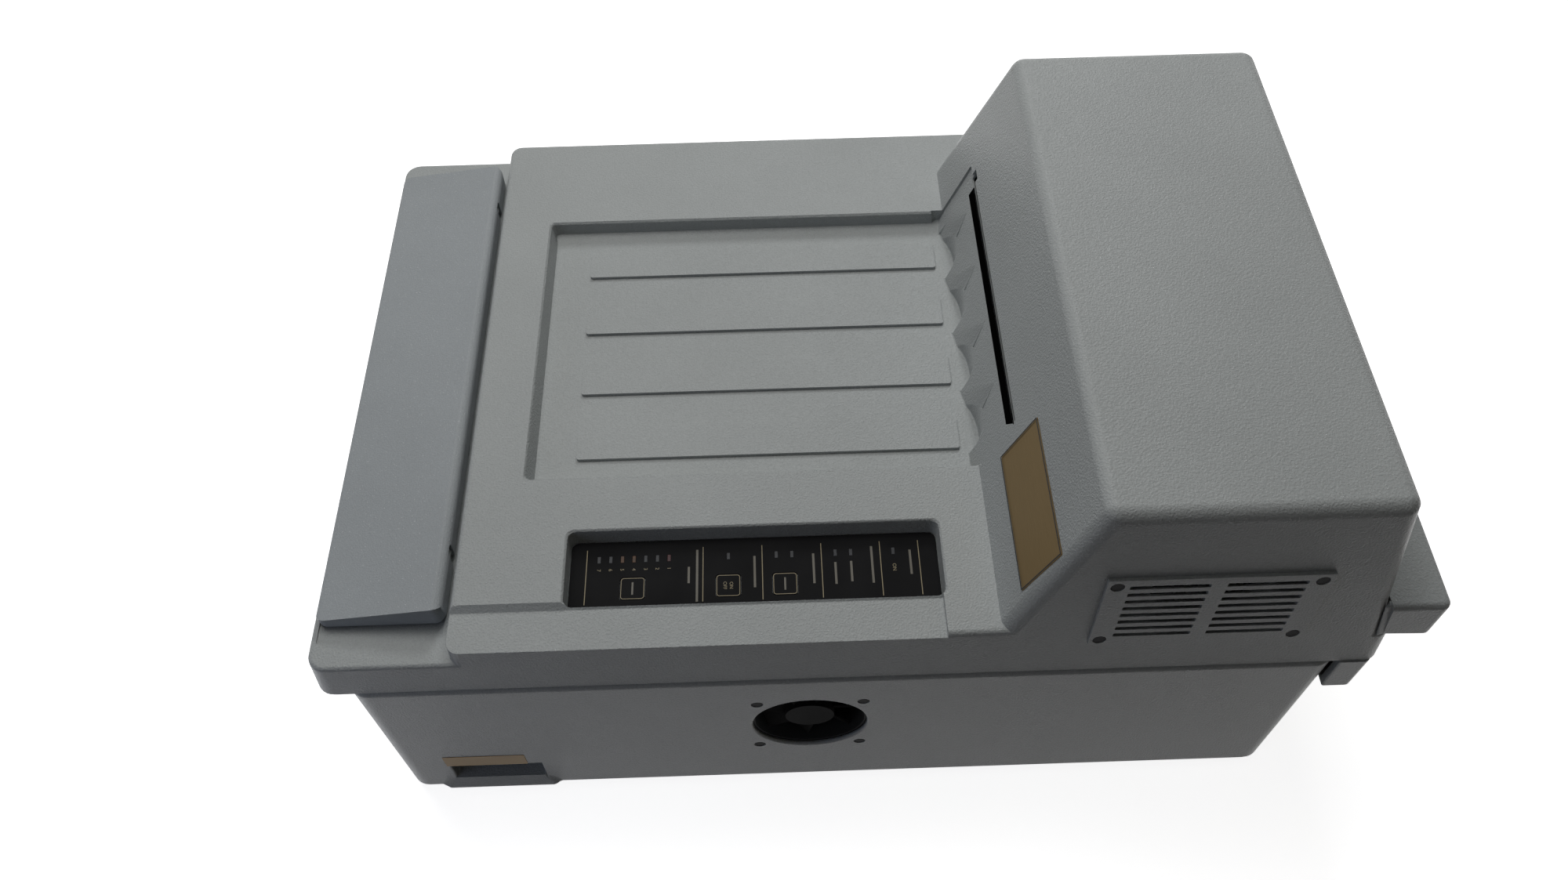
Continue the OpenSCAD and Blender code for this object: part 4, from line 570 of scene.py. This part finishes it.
# Control panel. A black fascia of textured polycarbonate on the floor of its recess, printed
# on its face in a dull tan: dividers, key outlines, the numbers of the seven lamps and the
# words of the switch. Other legends are plain bars.
fascia = moulded("black_textured_polycarbonate", "#0e0e0f", 0.72, 0.5, 0.03, 0.04)
fascia.node_tree.nodes["Principled BSDF"].inputs["Specular IOR Level"].default_value = 0.08
dress(fascia, "control_panel", "key_program", "key_power", "key_run")
tan_ink = moulded("tan_screen_ink", "#7d7257", 0.6, 0.3, 0.005, 0.08, 0.02)
dim_ink = moulded("dim_tan_screen_ink", "#4b473d", 0.6, 0.3, 0.005, 0.08, 0.02)
FACE_Z = 213.7


def flat_bars(name, bars, material, body):
    """Printed bars, each its centre and size in millimetres, a hair proud of the fascia"""
    bm = bmesh.new()
    for x, y, w, d in bars:
        bar = bmesh.ops.create_cube(bm, size=1)["verts"]
        bmesh.ops.scale(bm, vec=(w * MM, d * MM, 0.06 * MM), verts=bar)
        bmesh.ops.translate(bm, vec=(x * MM, y * MM, (FACE_Z + 0.02) * MM), verts=bar)
    return keep_mesh(name, bm, material, body)


flat_bars("panel_dividers", [(x, -168.5, 0.55, 40) for x in
                             (-179.5, -103.6, -65.0, -26.3, 12.2, 37.4)],
          tan_ink, "cover")
flat_bars("panel_legends", [(-107.4, -169.5, 1.5, 38), (-112.8, -169, 1.5, 12),
                            (-70, -168, 1.5, 23), (-31.6, -167, 1.5, 22),
                            (-7.1, -170, 1.5, 15), (-17.4, -171, 1.5, 16),
                            (6.6, -165.5, 1.5, 27), (31.6, -164.5, 1.5, 18)],
          dim_ink, "cover")


def printed_words(name, words, material, body):
    """Printed figures that read from the far side to the near one: text, centre and height"""
    bm = bmesh.new()
    for text, x, y, height in words:
        drawn = bpy.data.curves.new("drawn", "FONT")
        drawn.body = text
        drawn.size = height / 0.7 * MM
        drawn.align_x = "CENTER"
        drawn.align_y = "CENTER"
        drawn.resolution_u = 3
        drawn.extrude = 0.03 * MM
        thing = bpy.data.objects.new("drawn", drawn)
        mesh = bpy.data.meshes.new_from_object(thing)
        mesh.transform(Matrix.Translation((x * MM, y * MM, (FACE_Z + 0.02) * MM))
                       @ Matrix.Rotation(math.radians(-90), 4, "Z"))
        bm.from_mesh(mesh)
        bpy.data.meshes.remove(mesh)
        bpy.data.objects.remove(thing)
        bpy.data.curves.remove(drawn)
    return keep_mesh(name, bm, material, body)


LAMP_X = [-171.5 + 7.62 * i for i in range(7)] + [-87.0, -55.7, -45.5, -17.1, -7.0, 20.8]
printed_words("panel_numbers", [(str(7 - i), LAMP_X[i], -163.6, 2.4) for i in range(7)]
              + [("ON", 20.8, -168, 2.4)], tan_ink, "cover")

for key, body, x, words in (("program", "key_program", -149.0, ()),
                            ("power", "key_power", -87.2, (("ON", 1.9), ("OFF", -2.2))),
                            ("run", "key_run", -50.5, ())):
    bm = bmesh.new()
    bmesh.ops.create_grid(bm, x_segments=1, y_segments=1, size=7.6 * MM,
                          matrix=Matrix.Translation((x * MM, -177.5 * MM, (FACE_Z + 0.04) * MM)))
    bmesh.ops.bevel(bm, geom=list(bm.verts), affect="VERTICES", offset=1.9 * MM, segments=5,
                    profile=0.5, material=-1)
    middle = list(bm.faces)
    bmesh.ops.inset_region(bm, faces=middle, thickness=0.42 * MM, use_boundary=True)
    bmesh.ops.delete(bm, geom=middle, context="FACES_ONLY")
    bmesh.ops.solidify(bm, geom=list(bm.faces), thickness=0.06 * MM)
    bmesh.ops.recalc_face_normals(bm, faces=bm.faces)
    keep_mesh(key + "_key_outline", bm, tan_ink, body)
    if words:
        printed_words(key + "_key_words", [(text, x + dx, -177.5, 2.3) for text, dx in words],
                      tan_ink, body)
    else:
        flat_bars(key + "_key_bar", [(x, -177.5, 1.2, 9)], dim_ink, body)


# Lamps. Thirteen rectangular diodes behind windows of tinted acrylic, unlit: most look dull
# grey, one is amber and one is red. They stand a touch proud of the fascia.
def lenses(name, xs, tint):
    """A group of moulded lenses of one tint"""
    material, tree, skin, place = start_material(name + "_acrylic")
    skin.inputs["Roughness"].default_value = 0.4
    skin.inputs["Specular IOR Level"].default_value = 0.15
    depth = add(tree, "ShaderNodeTexNoise", inputs={"Vector": place, "Scale": 700.0})
    shade = add(tree, "ShaderNodeMix", {"data_type": "RGBA"},
                {0: depth.outputs["Fac"], 6: colour("#1d1e20"), 7: colour(tint)})
    tree.links.new(shade.outputs[2], skin.inputs["Base Color"])
    bm = bmesh.new()
    for x in xs:
        lens = bmesh.ops.create_cube(bm, size=1)["verts"]
        bmesh.ops.scale(bm, vec=(2.26 * MM, 5.06 * MM, 1.3 * MM), verts=lens)
        bmesh.ops.translate(bm, vec=(x * MM, -156 * MM, (FACE_Z - 0.5) * MM), verts=lens)
    bmesh.ops.bevel(bm, geom=list(bm.edges), affect="EDGES", offset=0.25 * MM, segments=2,
                    profile=0.5, material=-1)
    return keep_mesh(name, bm, material, "cover")


grey_lenses = lenses("grey_lenses", [LAMP_X[i] for i in (0, 1, 4, 5, 7, 8, 9, 10, 11, 12)],
                     "#3c3e41")
lenses("amber_lenses", [LAMP_X[2], LAMP_X[3]], "#5d3d20")
lenses("red_lens", [LAMP_X[6]], "#4f2827")
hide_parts("led_lenses")


# Feed opening. The black feed tray under the lid and the steel hinge pins of the lid.
dress(black_plastic, "feed_tray")
ground_steel, tree, skin, place = start_material("ground_steel")
# Bright ground bar: the wheel leaves fine rings across it
skin.inputs["Base Color"].default_value = colour("#b4b6b8")
skin.inputs["Metallic"].default_value = 1.0
rings = add(tree, "ShaderNodeTexNoise", inputs={"Vector": place, "Scale": 1500.0, "Detail": 2.0})
polish = add(tree, "ShaderNodeMapRange", inputs={
    "Value": rings.outputs["Fac"], "To Min": 0.2, "To Max": 0.34})
tree.links.new(polish.outputs[0], skin.inputs["Roughness"])
bump = add(tree, "ShaderNodeBump", inputs={"Height": rings.outputs["Fac"], "Distance": 0.01 * MM})
tree.links.new(bump.outputs[0], skin.inputs["Normal"])
dress(ground_steel, "hinge_pins", "drive_shaft")


# Feed lid. A hollow wedge of the same plastic, sprayed smoother and slightly bluer than the
# cover; it turns on the two pins along its high edge.
lid_paint = structured_paint("fine_lid_paint", "#9a9fa2", 1.0, 0.3, 0.38)
soften("feed_lid", "lid_moulding", lid_paint, 1.6)


# Tanks and racks. The tank block is welded from natural polypropylene; the racks have side
# plates of grey PVC sheet, which is scratched a little where it is lifted in and out.
dress(moulded("natural_polypropylene", "#bdb9ac", 0.46, 0.9, 0.03, 0.05, 1.0), "tank_block")
dress(moulded("grey_pvc_sheet", "#5a5e61", 0.5, 0.6, 0.02, 0.08), "developer_rack",
      "fixer_rack", "wash_rack")


def banded(name, axis, bands, grain, height):
    """A piece that changes its finish along an axis: (start in mm, tint, metallic, roughness)"""
    material, tree, skin, place = start_material(name)
    split = add(tree, "ShaderNodeSeparateXYZ", inputs={"Vector": place})
    low, high = bands[0][0] - 1, bands[-1][0] + 1
    along = add(tree, "ShaderNodeMapRange", inputs={
        "Value": split.outputs[axis], "From Min": low * MM, "From Max": high * MM})
    tints = add(tree, "ShaderNodeValToRGB", inputs={"Fac": along.outputs[0]})
    finish = add(tree, "ShaderNodeValToRGB", inputs={"Fac": along.outputs[0]})
    for ramp, pick in ((tints, lambda b: colour(b[1])), (finish, lambda b: (b[2], b[3], 0, 1))):
        ramp.color_ramp.interpolation = "CONSTANT"
        points = ramp.color_ramp.elements
        while len(points) < len(bands):
            points.new(1.0)
        for point, band in zip(points, bands):
            point.position = (band[0] - low) / (high - low) if band is not bands[0] else 0.0
            point.color = pick(band)
    clouds = add(tree, "ShaderNodeTexNoise", inputs={"Vector": place, "Scale": 40.0, "Detail": 4.0})
    shade = add(tree, "ShaderNodeMapRange", inputs={
        "Value": clouds.outputs["Fac"], "From Min": 0.3, "From Max": 0.7,
        "To Min": 0.93, "To Max": 1.05})
    tinted = add(tree, "ShaderNodeMix", {"data_type": "RGBA", "blend_type": "MULTIPLY"},
                 {0: 1.0, 6: tints.outputs["Color"], 7: shade.outputs[0]})
    tree.links.new(tinted.outputs[2], skin.inputs["Base Color"])
    parts = add(tree, "ShaderNodeSeparateColor", inputs={"Color": finish.outputs["Color"]})
    tree.links.new(parts.outputs["Red"], skin.inputs["Metallic"])
    tree.links.new(parts.outputs["Green"], skin.inputs["Roughness"])
    grains = add(tree, "ShaderNodeTexNoise",
                 inputs={"Vector": place, "Scale": 1 / (grain * MM), "Detail": 1.0})
    bump = add(tree, "ShaderNodeBump", inputs={
        "Height": grains.outputs["Fac"], "Distance": height * MM})
    tree.links.new(bump.outputs[0], skin.inputs["Normal"])
    return material


dress(banded("sheathed_heater", "Z", [(0, "#a9abab", 1.0, 0.3), (171.2, "#232425", 0.0, 0.5)],
             0.7, 0.02), "tank_heaters")


# Film rollers. Each is a steel spindle with a face of blue-grey polyurethane rubber, and
# gears of natural acetal at its ends; the gears on the near side lie outside the plates.
STEEL, FACE, ACETAL = ("#9c9ea0", 1.0, 0.3), ("#3b4247", 0.0, 0.62), ("#d9d4c3", 0.0, 0.42)
GREY = ("#6d7276", 0.0, 0.5)
roller_bands = [(-125, *ACETAL), (-114.2, *STEEL), (-104, *ACETAL), (-97.3, *STEEL),
                (-91.8, *FACE), (132.3, *STEEL), (138.4, *ACETAL), (144, *STEEL)]
roller_finish = banded("rubber_faced_roller", "Y", roller_bands, 0.5, 0.02)
dress(roller_finish, *[name for name in nodes
                       if name.endswith(("roller_lower", "roller_upper", "turn_roller"))])
acetal = moulded("natural_acetal", "#dcd7c8", 0.38, 0.5, 0.01, 0.03, 0.3)
dress(acetal, "drive_worms", *[name for name in nodes if name.endswith("idler_gear")])
dress(banded("perforated_drum", "Y", [(-125, *ACETAL), (-97.3, *STEEL), (-91.8, "#a6a8a9", 1.0, 0.28),
                                      (132.3, *STEEL)], 0.6, 0.02), "dryer_drum")


# Drive motor. A die-cast gearbox with grey enamel and a round motor with a steel case.
dress(banded("geared_motor", "X", [(190, "#6a6f73", 0.3, 0.45), (227.2, "#2a2b2d", 0.4, 0.4),
                                   (262, "#8d8f90", 1.0, 0.35)], 0.8, 0.05), "drive_motor")


# Dryer. Frame, plenum and blower housing are folded from galvanised sheet, whose zinc shows
# as faint crystals of about 8 mm; the heater's fins are nickel plated.
galvanised, tree, skin, place = start_material("galvanised_sheet")
skin.inputs["Metallic"].default_value = 1.0
crystals = add(tree, "ShaderNodeTexVoronoi", inputs={"Vector": place, "Scale": 125.0})
zinc = add(tree, "ShaderNodeMapRange", inputs={
    "Value": crystals.outputs["Color"], "To Min": 0.3, "To Max": 0.44})
tree.links.new(zinc.outputs[0], skin.inputs["Roughness"])
spangle = add(tree, "ShaderNodeMix", {"data_type": "RGBA"},
              {0: crystals.outputs["Color"], 6: colour("#989c9f"), 7: colour("#aeb2b4")})
tree.links.new(spangle.outputs[2], skin.inputs["Base Color"])
rolled = add(tree, "ShaderNodeTexNoise", inputs={"Vector": place, "Scale": 900.0})
bump = add(tree, "ShaderNodeBump", inputs={"Height": rolled.outputs["Fac"], "Distance": 0.01 * MM})
tree.links.new(bump.outputs[0], skin.inputs["Normal"])
dress(galvanised, "dryer_frame", "air_plenum", "blower_housing")
dress(black_plastic, "blower_wheel")
nickel, tree, skin, place = start_material("heat_stained_nickel")
skin.inputs["Metallic"].default_value = 1.0
skin.inputs["Roughness"].default_value = 0.38
stain = add(tree, "ShaderNodeTexNoise", inputs={"Vector": place, "Scale": 55.0, "Detail": 3.0})
heated = add(tree, "ShaderNodeMix", {"data_type": "RGBA"},
             {0: stain.outputs["Fac"], 6: colour("#8a7a66"), 7: colour("#a39a8c")})
tree.links.new(heated.outputs[2], skin.inputs["Base Color"])
dress(nickel, "dryer_heater")


# Electrics and pumps. Glass-epoxy boards with green solder mask, a laminated transformer with
# a taped winding, two magnetic circulation pumps and two bellows pumps for replenisher.
dress(banded("populated_control_board", "Z", [(190, "#202225", 0.0, 0.4), (200.9, "#2e5b3c", 0.0, 0.35),
                                              (202.8, "#d4cfbf", 0.0, 0.5)], 0.9, 0.03),
      "control_board")
dress(banded("populated_power_board", "Z", [(10, "#b9b4a4", 0.0, 0.5), (21.3, "#2e5b3c", 0.0, 0.35),
                                            (23.3, "#1f2023", 0.0, 0.42), (38.8, "#26364f", 0.0, 0.3)],
             0.9, 0.03), "power_board")
transformer_low, transformer_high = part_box("power_supply")
dress(banded("taped_transformer", "Y", [(-225, "#8f7a42", 0.0, 0.45), (-211.6, "#3f4143", 0.7, 0.5),
                                        (-171.2, "#8f7a42", 0.0, 0.45)], 0.5, 0.05), "power_supply")
dress(banded("magnetic_pump", "Z", [(0, "#c6c2b4", 0.0, 0.45), (37, "#2a2b2d", 0.0, 0.5),
                                    (80.5, "#151617", 0.0, 0.6)], 0.8, 0.04), "circulation_pumps")
dress(banded("bellows_pump", "Z", [(0, "#5d6266", 0.0, 0.5), (45.6, "#d6d1c1", 0.0, 0.4)],
             0.8, 0.03), "replenish_pumps")

bpy.context.view_layer.update()
